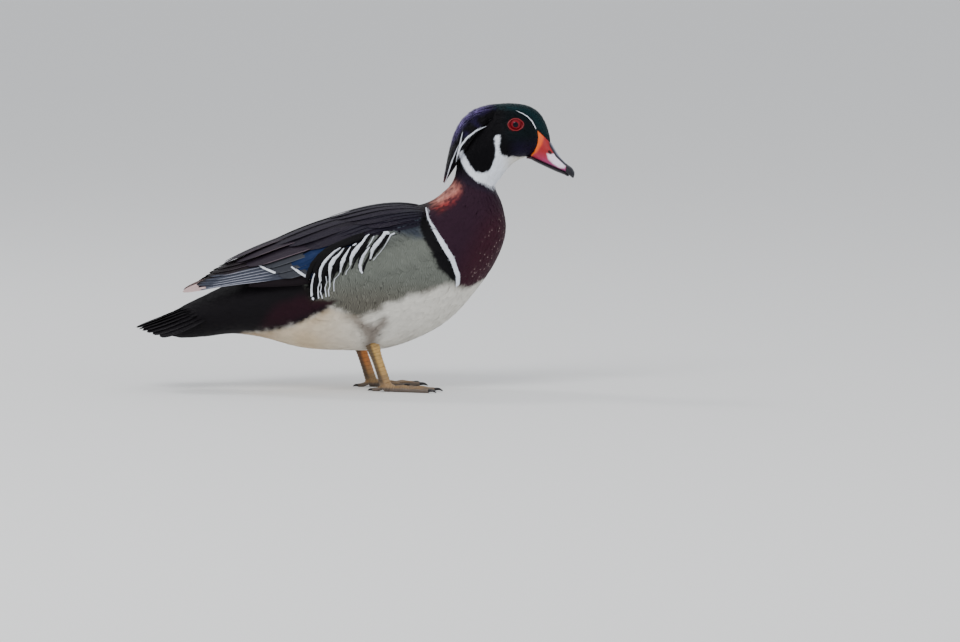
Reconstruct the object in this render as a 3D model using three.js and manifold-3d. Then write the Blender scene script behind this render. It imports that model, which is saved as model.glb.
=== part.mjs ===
// A drake wood duck, life size, standing with its head up, as a museum shows one.
// Millimetres, +Z up, +X towards the bill, -Y the bird's right side, the floor at z = 0.
// The origin is under the middle of the bird's length.
import * as THREE from "three";
import { mergeVertices } from "three/addons/utils/BufferGeometryUtils.js";
import Module from "manifold-3d";

const wasm = await Module();
wasm.setup();

// Driving dimensions
const JOINT_GAP = 0.35; // between pieces that touch
const EYE_RADIUS = 6.2;
const EYE_CENTRE = [141.3, 10.6, 233]; // of the left eye
const LID = { halfLength: 6.6, halfHeight: 5.4, girth: 1.15 }; // the ring of lids round an eye
const TARSUS_LENGTH = 37;
const TARSUS_LEAN = 0.37; // back from the foot, in radians
const TOES = {
  middle: { length: 43, girth: 2.9, heading: 0.02 },
  inner: { length: 33, girth: 2.6, heading: -0.42 },
  outer: { length: 41, girth: 2.7, heading: 0.4 },
};
const HIND_TOE = 12;
const CLAW = 7;
const TOE_SWELLS = [[-0.05, 1.25], [0.2, 1], [0.36, 1.12], [0.55, 0.86], [0.72, 1], [0.88, 0.78], [1, 0.75]];
const TOE_SINK = 0.76; // how high a toe's middle line runs, as a share of its half depth there
const WEB_THICK = 1.3;
const FOOT_SPREAD = 27; // from the mid plane to each foot
const FOOT_JOINT = { x: 25.5, z: 5.5 }; // where the right leg meets its foot
const LEFT_STRIDE = -12; // how much further forward the left foot stands

// The body's ribs, from the tail coverts along the back and up the neck to the forehead.
// Each joins a point of the upper outline (x, z) to one of the lower outline. half is the half
// width, wide is how far down the rib it lies, and crown and keel say how square the halves are.
const RIBS = [
  { back: [-161, 60], belly: [-161, 59], half: 0.5, wide: 0.5, crown: 2, keel: 2 },
  { back: [-151, 73], belly: [-153, 48], half: 12, wide: 0.5, crown: 2, keel: 2 },
  { back: [-130, 84], belly: [-130, 48.5], half: 20, wide: 0.5, crown: 2, keel: 2 },
  { back: [-108, 95], belly: [-107, 49], half: 28, wide: 0.5, crown: 2, keel: 2.1 },
  { back: [-79, 110], belly: [-80, 45.5], half: 39, wide: 0.5, crown: 2.2, keel: 2.2 },
  { back: [-44, 130], belly: [-47, 37], half: 49, wide: 0.48, crown: 2.4, keel: 2.3 },
  { back: [-9, 146.5], belly: [-12, 34.6], half: 54, wide: 0.46, crown: 2.5, keel: 2.3 },
  { back: [23, 156], belly: [24, 35.6], half: 55.5, wide: 0.46, crown: 2.5, keel: 2.2 },
  { back: [46, 160.5], belly: [57, 46.2], half: 53, wide: 0.46, crown: 2.4, keel: 2.1 },
  { back: [61, 163.5], belly: [85, 63.3], half: 47.5, wide: 0.46, crown: 2.2, keel: 2 },
  { back: [71, 168.5], belly: [109, 90.5], half: 40.5, wide: 0.47, crown: 2, keel: 2 },
  { back: [78.5, 174.5], belly: [125, 115], half: 33, wide: 0.48, crown: 2, keel: 2 },
  { back: [85, 181.5], belly: [132.8, 139], half: 26, wide: 0.5, crown: 2, keel: 2 },
  { back: [88.4, 190.5], belly: [130, 161.5], half: 20.5, wide: 0.5, crown: 2, keel: 2 },
  { back: [89.4, 200.5], belly: [121.6, 178], half: 17.3, wide: 0.5, crown: 2, keel: 2 },
  { back: [89.8, 212], belly: [127, 185.8], half: 17.4, wide: 0.52, crown: 2, keel: 2 },
  { back: [92.4, 224], belly: [131.2, 192.6], half: 18.2, wide: 0.55, crown: 2, keel: 2 },
  { back: [99, 236], belly: [136, 198], half: 18.6, wide: 0.58, crown: 2, keel: 2 },
  { back: [110.5, 245], belly: [141, 201.3], half: 18.3, wide: 0.6, crown: 2, keel: 2 },
  { back: [125, 250.3], belly: [145.6, 203], half: 17.5, wide: 0.62, crown: 2, keel: 2 },
  { back: [140, 252], belly: [149.2, 204], half: 16, wide: 0.62, crown: 2.1, keel: 2 },
  { back: [153, 249.6], belly: [152, 204.5], half: 13.4, wide: 0.62, crown: 2.1, keel: 2 },
  { back: [162, 243.8], belly: [154.6, 205], half: 10.8, wide: 0.64, crown: 2, keel: 2.2 },
  { back: [167.6, 235], belly: [158, 207], half: 8.7, wide: 0.66, crown: 2, keel: 2.2 },
  { back: [170.8, 225.6], belly: [163, 210.6], half: 6, wide: 0.66, crown: 2, keel: 2 },
  { back: [172.2, 217.8], belly: [171.6, 217.2], half: 0.4, wide: 0.5, crown: 2, keel: 2 },
];
// The crest's core, as shares of the hood's length, and rows of its locks: how they lie along the
// hood, how far round it, and how much shorter the outer ones are
const CREST_CORE = { end: 0.5, sink: 1.6 };
const CREST_ROWS = [
  { count: 5, span: [0.06, 0.6], round: 1.5, half: 6, shorter: 0.06, rise: 0 },
  { count: 4, span: [0.3, 0.84], round: 1.25, half: 4.2, shorter: 0.12, rise: 0.4 },
  { count: 3, span: [0.42, 0.99], round: 0.7, half: 3.4, shorter: 0.1, rise: 0 },
];
const CREST_LOCK_THICK = 1.7;

const BODY_AROUND = 22;
const BODY_ALONG = 52;
const TAIL_RIB = 3.1; // where the body is parted, counted along the ribs
const NECK_RIB = 10.6;
const HEAD_RIB = 14.3;

// The hood of the crest hangs over the back of the head and the nape.
const CREST_RIBS = [
  { back: [131, 252], belly: [129, 249.5], half: 1, wide: 0.6, crown: 2, keel: 2 },
  { back: [119, 250.8], belly: [121, 239], half: 13.5, wide: 0.9, crown: 2, keel: 2 },
  { back: [106.8, 247.3], belly: [113.5, 233], half: 18, wide: 0.9, crown: 2, keel: 2 },
  { back: [96.8, 240.6], belly: [107.5, 226], half: 19.9, wide: 0.88, crown: 2, keel: 2 },
  { back: [89.7, 230.5], belly: [102.5, 218.5], half: 19.6, wide: 0.85, crown: 2, keel: 2 },
  { back: [85.4, 219.5], belly: [97.5, 210.5], half: 17.8, wide: 0.8, crown: 2, keel: 2 },
  { back: [82.7, 207.8], belly: [92.5, 203.5], half: 13.5, wide: 0.75, crown: 2, keel: 2 },
  { back: [80.6, 197.6], belly: [88.2, 196.4], half: 9.2, wide: 0.6, crown: 2, keel: 2 },
  { back: [79, 189.5], belly: [83.5, 189.6], half: 5.4, wide: 0.5, crown: 2, keel: 2 },
  { back: [78, 182], belly: [78.6, 181.8], half: 0.6, wide: 0.5, crown: 2, keel: 2 },
];

const UPPER_BILL_RIBS = [
  { back: [157.5, 236], belly: [151, 206.4], half: 7, wide: 0.6, crown: 3, keel: 3 },
  { back: [162, 234], belly: [154, 205.4], half: 9.2, wide: 0.66, crown: 3, keel: 3.4 },
  { back: [166.5, 228.5], belly: [159.6, 202.5], half: 9.1, wide: 0.68, crown: 2.6, keel: 3.6 },
  { back: [171.6, 219.2], belly: [166, 199.7], half: 8.7, wide: 0.74, crown: 2.3, keel: 4 },
  { back: [175.8, 211], belly: [172, 197], half: 8.2, wide: 0.74, crown: 2.2, keel: 4 },
  { back: [180, 204.6], belly: [177.4, 194.7], half: 7.9, wide: 0.7, crown: 2.3, keel: 4 },
  { back: [185.7, 198.6], belly: [183.6, 192.2], half: 7.5, wide: 0.62, crown: 2.2, keel: 3.4 },
  { back: [190.4, 195.2], belly: [188.6, 188.6], half: 5.9, wide: 0.55, crown: 2, keel: 2.4 },
  { back: [192.7, 191.6], belly: [191.7, 186.4], half: 3.4, wide: 0.5, crown: 2, keel: 2 },
  { back: [192.9, 188.9], belly: [192.7, 188.2], half: 0.5, wide: 0.5, crown: 2, keel: 2 },
];
const LOWER_BILL_RIBS = [
  { back: [150.8, 205], belly: [150.6, 203.2], half: 3, wide: 0.4, crown: 3, keel: 2 },
  { back: [155, 204.2], belly: [154.4, 202.5], half: 6.8, wide: 0.3, crown: 3, keel: 2 },
  { back: [160.6, 201.4], belly: [159.6, 199.8], half: 7.2, wide: 0.3, crown: 3, keel: 2 },
  { back: [169, 197.6], belly: [167.6, 196], half: 6.9, wide: 0.3, crown: 3, keel: 2 },
  { back: [177.8, 193.8], belly: [176.6, 191.9], half: 6.6, wide: 0.3, crown: 3, keel: 2 },
  { back: [184.4, 191], belly: [183.4, 189.2], half: 5.8, wide: 0.35, crown: 3, keel: 2 },
  { back: [188, 188.2], belly: [187.5, 186.8], half: 3.8, wide: 0.4, crown: 2, keel: 2 },
  { back: [189.4, 187], belly: [189.2, 186.4], half: 0.6, wide: 0.5, crown: 2, keel: 2 },
];
const NOSTRIL = { centre: [170.9, 7.2, 208.6], radii: [2.2, 2, 0.95], slope: 0.8 };
// The edge between bill and feathers in the side view, from the chin up to the eye's level and
// forward down to the ridge of the bill, then round in front of the bill
const BILL_BASE = [
  [150.2, 204.2], [154.4, 205.4], [157.8, 209], [160.6, 216.4], [161.2, 222.6], [159.8, 229.6],
  [172, 217.6], [176, 224], [210, 224], [210, 180], [150.2, 180],
];

// The folded left wing lies on a surface between an upper and a lower edge (x, y, z), which
// bulges outwards as a quarter of an ellipse.
const WING_TOP = [
  [66, 9, 161], [50, 4.5, 163], [20.5, 2.5, 160.5], [-11, 2, 152.5], [-43, 2, 142],
  [-72, 2, 129.5], [-93, 2.5, 117.5], [-111, 4, 111.5], [-131, 6, 101.5], [-150, 9, 88.5],
];
const WING_LOW = [
  [62, 40, 150], [46, 51, 142], [20, 57, 130], [-8, 58.5, 117], [-38, 55.5, 98],
  [-66, 48.5, 94], [-90, 41, 93], [-112, 33, 93], [-132, 24, 90], [-152, 13, 85.5],
];
// The core of the wing ends at a share of its length; its depth is given there and in front.
const WING_CORE = { end: 0.66, depth: [7, 3], sink: 0.9 };
// Rows of wing feathers, lowest layer first. Each has its first and last feather's root and tip as
// shares of the wing's length and girth, the half width, and how high the first and last tip rises.
const WING_ROWS = {
  primaries: {
    count: 5,
    half: 6.5,
    roots: [[0.44, 0.9], [0.34, 0.5]],
    tips: [[1, 0.7], [0.7, 0.3]],
    rise: [0, 0.9],
  },
  secondaries: {
    count: 5,
    half: 8,
    roots: [[0.26, 0.92], [0.3, 0.46]],
    tips: [[0.46, 0.93], [0.62, 0.5]],
    rise: [1, 1.5],
  },
  tertials: {
    count: 3,
    half: 9.5,
    roots: [[0.3, 0.42], [0.26, 0.12]],
    tips: [[0.66, 0.4], [0.8, 0.14]],
    rise: [1.7, 2],
  },
  coverts: {
    count: 4,
    half: 9,
    roots: [[0.06, 0.88], [0.1, 0.34]],
    tips: [[0.31, 0.9], [0.42, 0.42]],
    rise: [1.8, 2.2],
  },
  scapulars: {
    count: 4,
    half: 9.5,
    roots: [[0.05, 0.66], [0.07, 0.14]],
    tips: [[0.34, 0.62], [0.52, 0.13]],
    rise: [2.5, 2.8],
  },
};
const VANE_THICK = 0.9; // of a flight or tail feather
const TILE_RISE = 1.3; // how much higher a feather's edge lies than its neighbour's

const TAIL = { root: [-112, 84], tip: [-193, 54.3], halfRoot: 8, halfTip: 25, droop: 14, shorten: 0.27 };
const TAIL_PAIRS = 6;
const TAIL_VANE = { half: 7.2, tilt: 0.2 };

const MATERIALS = {
  head_plumage: new THREE.MeshStandardMaterial({ color: 0x101a1c, roughness: 0.38, metalness: 0.3 }),
  crest_plumage: new THREE.MeshStandardMaterial({ color: 0x1d1430, roughness: 0.32, metalness: 0.35 }),
  breast_plumage: new THREE.MeshStandardMaterial({ color: 0x2c1519, roughness: 0.7, metalness: 0 }),
  body_plumage: new THREE.MeshStandardMaterial({ color: 0x8f8c7c, roughness: 0.8, metalness: 0 }),
  tail_plumage: new THREE.MeshStandardMaterial({ color: 0x15110f, roughness: 0.6, metalness: 0 }),
  wing_plumage: new THREE.MeshStandardMaterial({ color: 0x1b1622, roughness: 0.5, metalness: 0.1 }),
  bill: new THREE.MeshStandardMaterial({ color: 0xb4454a, roughness: 0.4, metalness: 0 }),
  lower_bill: new THREE.MeshStandardMaterial({ color: 0x141318, roughness: 0.4, metalness: 0 }),
  eye: new THREE.MeshStandardMaterial({ color: 0x9c1414, roughness: 0.08, metalness: 0 }),
  leg_skin: new THREE.MeshStandardMaterial({ color: 0x9a7434, roughness: 0.55, metalness: 0 }),
};

// Solids from closed three.js geometries, and back
function solidOf(geometry, tolerance = 1e-4) {
  const bare = new THREE.BufferGeometry();
  bare.setAttribute("position", geometry.getAttribute("position"));
  if (geometry.index) bare.setIndex(geometry.index);
  const merged = mergeVertices(bare, tolerance);
  const corners = merged.index.array;
  const kept = [];
  for (let i = 0; i < corners.length; i += 3) {
    const [a, b, c] = corners.slice(i, i + 3);
    if (a !== b && b !== c && c !== a) kept.push(a, b, c);
  }
  const build = (triangles) =>
    new wasm.Manifold(
      new wasm.Mesh({
        numProp: 3,
        vertProperties: merged.attributes.position.array,
        triVerts: new Uint32Array(triangles),
      }),
    );
  const made = build(kept);
  return made.volume() > 0 ? made : build(kept.reverse());
}

function geometryOf(solid) {
  const { vertProperties, triVerts } = solid.getMesh();
  const geometry = new THREE.BufferGeometry();
  geometry.setAttribute("position", new THREE.BufferAttribute(vertProperties, 3));
  geometry.setIndex(new THREE.BufferAttribute(triVerts, 1));
  return geometry;
}

function largestOf(solid) {
  return solid.decompose().sort((a, b) => b.volume() - a.volume())[0];
}

function unionOf(solids) {
  return solids.reduce((whole, next) => whole.add(next));
}

function meshOf(name, solid, material) {
  const geometry = geometryOf(largestOf(solidOf(geometryOf(largestOf(solid)), 1e-3)));
  geometry.computeVertexNormals();
  const mesh = new THREE.Mesh(geometry, material);
  mesh.name = name;
  return mesh;
}

function mirrored(solid) {
  return solid.mirror([0, 1, 0]);
}

// A smooth curve through points, read by a share of their number
function curveThrough(points) {
  return new THREE.CatmullRomCurve3(points, false, "catmullrom", 0.5);
}

function between(a, b, share) {
  return THREE.MathUtils.lerp(a, b, share);
}

// A closed skin over ribs. place(t, angle) is a point of it, with angle 0 on the back.
class RibSkin {
  constructor(ribs) {
    this.count = ribs.length - 1;
    this.back = curveThrough(ribs.map((rib) => new THREE.Vector3(rib.back[0], rib.half, rib.back[1])));
    this.belly = curveThrough(ribs.map((rib) => new THREE.Vector3(rib.belly[0], rib.wide, rib.belly[1])));
    this.shape = curveThrough(ribs.map((rib) => new THREE.Vector3(rib.crown, rib.keel, 0)));
  }

  place(t, angle, grow = 0) {
    const back = this.back.getPoint(t);
    const belly = this.belly.getPoint(t);
    const shape = this.shape.getPoint(t);
    const half = Math.max(back.y, 0.05) + grow;
    const wide = belly.y;
    back.y = 0;
    belly.y = 0;
    const down = belly.clone().sub(back);
    const reach = down.length() + 2 * grow;
    down.normalize();
    const c = Math.cos(angle);
    const s = Math.sin(angle);
    const bend = 2 / (c >= 0 ? shape.x : shape.y);
    const level = c >= 0 ? wide * (1 - c ** bend) : wide + (1 - wide) * (-c) ** bend;
    const side = half * Math.sign(s) * Math.abs(s) ** bend;
    return back.addScaledVector(down, level * reach - grow).add(new THREE.Vector3(0, side, 0));
  }

  // The half width of the skin at a place of the side view, between two shares of its length
  sideAt(x, z, low, high) {
    const across = (t) => {
      const back = this.back.getPoint(t);
      const belly = this.belly.getPoint(t);
      return (belly.x - back.x) * (z - back.z) - (belly.z - back.z) * (x - back.x);
    };
    const sign = Math.sign(across(low));
    let [near, far] = [low, high];
    for (let i = 0; i < 30; i++) {
      const middle = (near + far) / 2;
      if (Math.sign(across(middle)) === sign) near = middle;
      else far = middle;
    }
    const back = this.back.getPoint(near);
    const belly = this.belly.getPoint(near);
    const shape = this.shape.getPoint(near);
    const level = Math.hypot(x - back.x, z - back.z) / Math.hypot(belly.x - back.x, belly.z - back.z);
    const upper = level < belly.y;
    const share = upper ? 1 - level / belly.y : (level - belly.y) / (1 - belly.y);
    const bend = upper ? shape.x : shape.y;
    return back.y * Math.max(0, 1 - share ** bend) ** (1 / bend);
  }

  solid(around, along, grow = 0) {
    const ball = new THREE.SphereGeometry(1, around, along);
    const place = ball.getAttribute("position");
    const uv = ball.getAttribute("uv");
    for (let i = 0; i < place.count; i++) {
      const ring = Math.round((1 - uv.getY(i)) * along);
      const turn = (i % (around + 1)) % around;
      const pole = ring === 0 || ring === along;
      const p = this.place(ring / along, pole ? 0 : (turn / around) * 2 * Math.PI, pole ? 0 : grow);
      place.setXYZ(i, p.x, p.y, p.z);
    }
    return solidOf(ball);
  }

  // A thin slab across the skin at a rib, which parts it
  slabAt(rib) {
    const t = rib / this.count;
    const back = this.place(t, 0);
    const belly = this.place(t, Math.PI);
    const down = belly.clone().sub(back).normalize();
    const across = new THREE.Vector3(0, 1, 0);
    const facing = new THREE.Vector3().crossVectors(down, across);
    const slab = new THREE.BoxGeometry(back.distanceTo(belly) + 16, 150, JOINT_GAP);
    slab.applyMatrix4(new THREE.Matrix4().makeBasis(down, across, facing));
    const middle = back.add(belly).multiplyScalar(0.5);
    slab.translate(middle.x, middle.y, middle.z);
    return solidOf(slab);
  }
}

// A closed plate with the same triangles on both faces. place(u, v, face) gives its points, with u
// along it from 0 to 1, v across it from -1 to 1, and face 0 below and 1 above.
function plate(along, across, place) {
  const points = [];
  const index = [];
  const at = (i, j, face) => (face * (along + 1) + i) * (across + 1) + j;
  for (const face of [0, 1])
    for (let i = 0; i <= along; i++)
      for (let j = 0; j <= across; j++)
        points.push(...place(i / along, (2 * j) / across - 1, face).toArray());
  const quad = (a, b, c, d) => index.push(a, b, c, a, c, d);
  for (let i = 0; i < along; i++)
    for (let j = 0; j < across; j++) {
      quad(at(i, j, 0), at(i, j + 1, 0), at(i + 1, j + 1, 0), at(i + 1, j, 0));
      const high = [at(i, j, 1), at(i + 1, j, 1), at(i + 1, j + 1, 1), at(i, j + 1, 1)];
      index.push(high[0], high[1], high[2], high[0], high[2], high[3]);
    }
  for (let i = 0; i < along; i++) {
    quad(at(i, 0, 0), at(i + 1, 0, 0), at(i + 1, 0, 1), at(i, 0, 1));
    quad(at(i + 1, across, 0), at(i, across, 0), at(i, across, 1), at(i + 1, across, 1));
  }
  for (let j = 0; j < across; j++) {
    quad(at(0, j + 1, 0), at(0, j, 0), at(0, j, 1), at(0, j + 1, 1));
    quad(at(along, j, 0), at(along, j + 1, 0), at(along, j + 1, 1), at(along, j, 1));
  }
  const geometry = new THREE.BufferGeometry();
  geometry.setAttribute("position", new THREE.Float32BufferAttribute(points, 3));
  geometry.setIndex(index);
  return solidOf(geometry);
}

// The half width of a feather along it, as a share: nearly full most of the way, round at the tip
function featherWidth(u) {
  return Math.min(1, 0.35 + 2 * u) * Math.sqrt(Math.max(0.04, 1 - Math.max(0, (u - 0.6) / 0.4) ** 2));
}

// A flat feather or lock. path(u) gives the middle line of its upper face, facing(u) the way that
// this face looks, and half(u) its half width.
function vane({ path, facing, half, thick, steps = 4, across = 1 }) {
  const step = 1e-3;
  return plate(steps, across, (share, v, face) => {
    const u = 1 - (1 - share) ** 1.6;
    const along = path(Math.min(1, u + step)).sub(path(Math.max(0, u - step))).normalize();
    const side = new THREE.Vector3().crossVectors(facing(u), along).normalize();
    const up = new THREE.Vector3().crossVectors(along, side);
    const lift = (face - 1) * thick * (1 - 0.35 * u);
    return path(u).addScaledVector(side, half(u) * v).addScaledVector(up, lift);
  });
}

// A rounded limb through points [x, y, z, half depth, half breadth]
function limb(points, { around = 6, along = 8, sideways = new THREE.Vector3(0, 1, 0), grow = 0 } = {}) {
  const middle = curveThrough(points.map((p) => new THREE.Vector3(p[0], p[1], p[2])));
  const girth = curveThrough(points.map((p) => new THREE.Vector3(p[3], p[4], 0)));
  const ball = new THREE.SphereGeometry(1, around, along);
  const place = ball.getAttribute("position");
  const uv = ball.getAttribute("uv");
  const cap = points[0][3] / middle.getLength();
  for (let i = 0; i < place.count; i++) {
    const ring = Math.round((1 - uv.getY(i)) * along);
    const inner = Math.min(ring, along - ring);
    const end = inner < 2 ? 0.3 * cap * inner : between(cap, 0.5, (inner - 2) / (along / 2 - 2));
    const fill = inner < 2 ? 0.75 * inner : 1;
    const t = ring * 2 > along ? 1 - end : end;
    const angle = (((i % (around + 1)) % around) / around) * 2 * Math.PI;
    const tangent = middle.getPoint(Math.min(1, t + 0.01)).sub(middle.getPoint(Math.max(0, t - 0.01)));
    tangent.normalize();
    const broad = sideways.clone().addScaledVector(tangent, -sideways.dot(tangent)).normalize();
    const deep = new THREE.Vector3().crossVectors(tangent, broad);
    const size = girth.getPoint(t);
    const p = middle.getPoint(t);
    if (inner === 0) p.addScaledVector(tangent, (t > 0.5 ? 1 : -1) * grow);
    p.addScaledVector(deep, fill * (size.x + grow) * Math.cos(angle));
    p.addScaledVector(broad, fill * (size.y + grow) * Math.sin(angle));
    place.setXYZ(i, p.x, p.y, p.z);
  }
  return solidOf(ball);
}

function ellipsoid(centre, radii, turn = 0, around = 14, along = 8) {
  const ball = new THREE.SphereGeometry(1, around, along);
  ball.scale(...radii);
  ball.rotateY(turn);
  ball.translate(...centre);
  return solidOf(ball);
}

const SIDES = { right: -1, left: 1 };
const body = new RibSkin(RIBS);

// The trunk, neck and head are one skin, parted by thin slabs, from the tail forward.
function partedBody() {
  const whole = body.solid(BODY_AROUND, BODY_ALONG);
  const parted = [TAIL_RIB, NECK_RIB, HEAD_RIB].reduce(
    (rest, rib) => rest.subtract(body.slabAt(rib)),
    whole,
  );
  const forward = (piece) => {
    const { min, max } = piece.boundingBox();
    return min[0] + max[0] + min[2] + max[2];
  };
  return parted.decompose().sort((a, b) => forward(a) - forward(b));
}

// The wing's outer surface: s runs from the shoulder to the tip, r from the back to the flank.
const wingTop = curveThrough(WING_TOP.map((p) => new THREE.Vector3(...p)));
const wingLow = curveThrough(WING_LOW.map((p) => new THREE.Vector3(...p)));

function wingPoint(s, r) {
  const top = wingTop.getPoint(THREE.MathUtils.clamp(s, 0, 1));
  const low = wingLow.getPoint(THREE.MathUtils.clamp(s, 0, 1));
  const turn = (THREE.MathUtils.clamp(r, 0, 1) * Math.PI) / 2;
  return new THREE.Vector3(
    between(top.x, low.x, r),
    top.y + (low.y - top.y) * Math.sin(turn) ** 0.92,
    low.z + (top.z - low.z) * Math.cos(turn) ** 0.92,
  );
}

function wingFacing(s, r) {
  const step = 0.02;
  const inner = THREE.MathUtils.clamp(r, 0.08, 0.92);
  const length = wingPoint(s + step, inner).sub(wingPoint(s - step, inner));
  const girth = wingPoint(s, inner + step).sub(wingPoint(s, inner - step));
  return girth.cross(length).normalize();
}

// One wing feather. Its edge towards the flank rises over its neighbour, as a roof tile's does.
function wingFeather(root, tip, half, rise, tile) {
  const at = (u) => [between(root[0], tip[0], u), between(root[1], tip[1], u)];
  return vane({
    path: (u) => {
      const lift = -WING_CORE.sink + (WING_CORE.sink + rise) * Math.min(1, u / 0.35) ** 2;
      return wingPoint(...at(u)).addScaledVector(wingFacing(...at(u)), lift);
    },
    facing: (u) => {
      const [s, r] = at(u);
      const down = wingPoint(s, r + 0.05).sub(wingPoint(s, r - 0.05)).normalize();
      return wingFacing(s, r).addScaledVector(down, -tile);
    },
    half: (u) => half * featherWidth(u),
    thick: VANE_THICK,
  });
}

function wingRow({ count, roots, tips, half, rise }) {
  const spread = wingPoint(...roots[0]).distanceTo(wingPoint(...roots[1])) / (count - 1);
  return Array.from({ length: count }, (_, i) => {
    const share = i / (count - 1);
    const place = (ends) => ends[0].map((first, k) => between(first, ends[1][k], share));
    return wingFeather(place(roots), place(tips), half, between(...rise, share), TILE_RISE / spread);
  });
}

// The left wing: a core over the body, and rows of feathers that grow from it
function wing() {
  const core = plate(12, 5, (u, v, face) => {
    const s = u * WING_CORE.end;
    const r = (v + 1) / 2;
    const depth = face ? WING_CORE.sink : between(...WING_CORE.depth, u);
    return wingPoint(s, r).addScaledVector(wingFacing(s, r), -depth);
  });
  const whole = unionOf([core, ...Object.values(WING_ROWS).flatMap(wingRow)]);
  return whole.subtract(body.solid(BODY_AROUND, BODY_ALONG, JOINT_GAP + 0.15));
}

// The tail's feathers fan out as a roof from under its coverts, the middle pair on top.
function tailFeather(side, pair) {
  const v = (pair + 0.4) / (TAIL_PAIRS - 0.6);
  const facing = new THREE.Vector3(0, side * (0.75 * v - TAIL_VANE.tilt), 1);
  return vane({
    path: (u) => {
      const reach = u * (1 - TAIL.shorten * v * v);
      return new THREE.Vector3(
        between(TAIL.root[0], TAIL.tip[0], reach),
        side * v * between(TAIL.halfRoot, TAIL.halfTip, u),
        between(TAIL.root[1], TAIL.tip[1], reach) - TAIL.droop * v * v * (0.5 + 0.5 * u),
      );
    },
    facing: () => facing.clone(),
    half: (u) => TAIL_VANE.half * featherWidth(u),
    thick: VANE_THICK,
  });
}

function tailFeathers() {
  return Object.values(SIDES).flatMap((side) =>
    Array.from({ length: TAIL_PAIRS }, (_, pair) => tailFeather(side, pair)),
  );
}

const crestSkin = new RibSkin(CREST_RIBS);

function crestFacing(t, angle) {
  const step = 0.01;
  const inner = THREE.MathUtils.clamp(t, step, 1 - step);
  const along = crestSkin.place(inner + step, angle).sub(crestSkin.place(inner - step, angle));
  const round = crestSkin.place(inner, angle + 0.05).sub(crestSkin.place(inner, angle - 0.05));
  return round.cross(along).normalize();
}

function crestLock(turn, { span, round, half, shorter, rise }) {
  const angle = turn * round;
  const end = span[1] - shorter * Math.abs(turn);
  const at = (u) => between(span[0], end, u);
  return vane({
    path: (u) => {
      const lift = rise * u - CREST_CORE.sink * 0.75 * (1 - u) ** 2;
      return crestSkin.place(at(u), angle).addScaledVector(crestFacing(at(u), angle), lift);
    },
    facing: (u) => crestFacing(at(u), angle),
    half: (u) => half * Math.sqrt(Math.max(0.01, 1 - u ** 2.5)) * Math.min(1, 0.6 + u),
    thick: CREST_LOCK_THICK,
  });
}

// The crest: a core over the back of the head, and locks that hang from it down the nape
function crest() {
  const core = crestSkin.solid(12, 12, -CREST_CORE.sink);
  const below = new THREE.BoxGeometry(200, 200, 200);
  const low = crestSkin.place(CREST_CORE.end, 0);
  below.translate(low.x, 0, low.z - 100);
  const locks = CREST_ROWS.flatMap((row) =>
    Array.from({ length: row.count }, (_, i) => crestLock((2 * i) / (row.count - 1) - 1, row)),
  );
  const whole = unionOf([core.subtract(solidOf(below)), ...locks]);
  return whole.subtract(body.solid(BODY_AROUND, BODY_ALONG, JOINT_GAP));
}

// The lids: a ring round the eye on the head's surface, pointed in front and behind
function lidRing() {
  const ring = new THREE.TorusGeometry(1, 0.2, 5, 14);
  const place = ring.getAttribute("position");
  for (let i = 0; i < place.count; i++) {
    const angle = Math.atan2(place.getY(i), place.getX(i));
    const out = (Math.hypot(place.getX(i), place.getY(i)) - 1) * 5 * LID.girth;
    const x = EYE_CENTRE[0] + (LID.halfLength * (1 + 0.1 * Math.cos(angle) ** 8) + out) * Math.cos(angle);
    const z = EYE_CENTRE[2] + (LID.halfHeight + out) * Math.sin(angle);
    const surface = body.sideAt(x, z, 17 / body.count, 23 / body.count);
    place.setXYZ(i, x, surface + place.getZ(i) * 5 * LID.girth, z);
  }
  return solidOf(ring);
}

function eyeball(grow = 0) {
  const radius = EYE_RADIUS + grow;
  return ellipsoid(EYE_CENTRE, [radius, radius, radius], 0, 12, 8);
}

const upperBill = new RibSkin(UPPER_BILL_RIBS);
const lowerBill = new RibSkin(LOWER_BILL_RIBS);

// What lies in front of the line where the bill leaves the feathers, drawn in by a gap
function billSide(gap) {
  const corners = BILL_BASE.map(([x, z]) => new THREE.Vector2(x, z));
  const inward = (a, b) => new THREE.Vector2(b.y - a.y, a.x - b.x).normalize();
  const moved = corners.map((corner, i) => {
    const before = inward(corners.at(i - 1), corner);
    const after = inward(corner, corners[(i + 1) % corners.length]);
    const reach = gap / (1 + before.dot(after));
    return before.add(after).multiplyScalar(reach).add(corner);
  });
  const outline = new THREE.Shape(moved);
  const block = new THREE.ExtrudeGeometry(outline, { depth: 60, bevelEnabled: false });
  block.rotateX(Math.PI / 2);
  block.translate(0, 30, 0);
  return solidOf(block);
}

function nostril() {
  return ellipsoid(NOSTRIL.centre, NOSTRIL.radii, NOSTRIL.slope, 8, 5);
}

function finishedHead(head) {
  const lids = [lidRing(), mirrored(lidRing())];
  const cuts = [eyeball(JOINT_GAP), mirrored(eyeball(JOINT_GAP)), billSide(0)];
  return cuts.reduce((rest, cut) => rest.subtract(cut), unionOf([head, ...lids]));
}

function upperBillSolid() {
  const whole = upperBill.solid(14, 16).intersect(billSide(JOINT_GAP));
  return whole.subtract(nostril()).subtract(mirrored(nostril()));
}

function legJoint(side) {
  return [FOOT_JOINT.x + (side > 0 ? LEFT_STRIDE : 0), side * FOOT_SPREAD, FOOT_JOINT.z];
}

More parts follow.
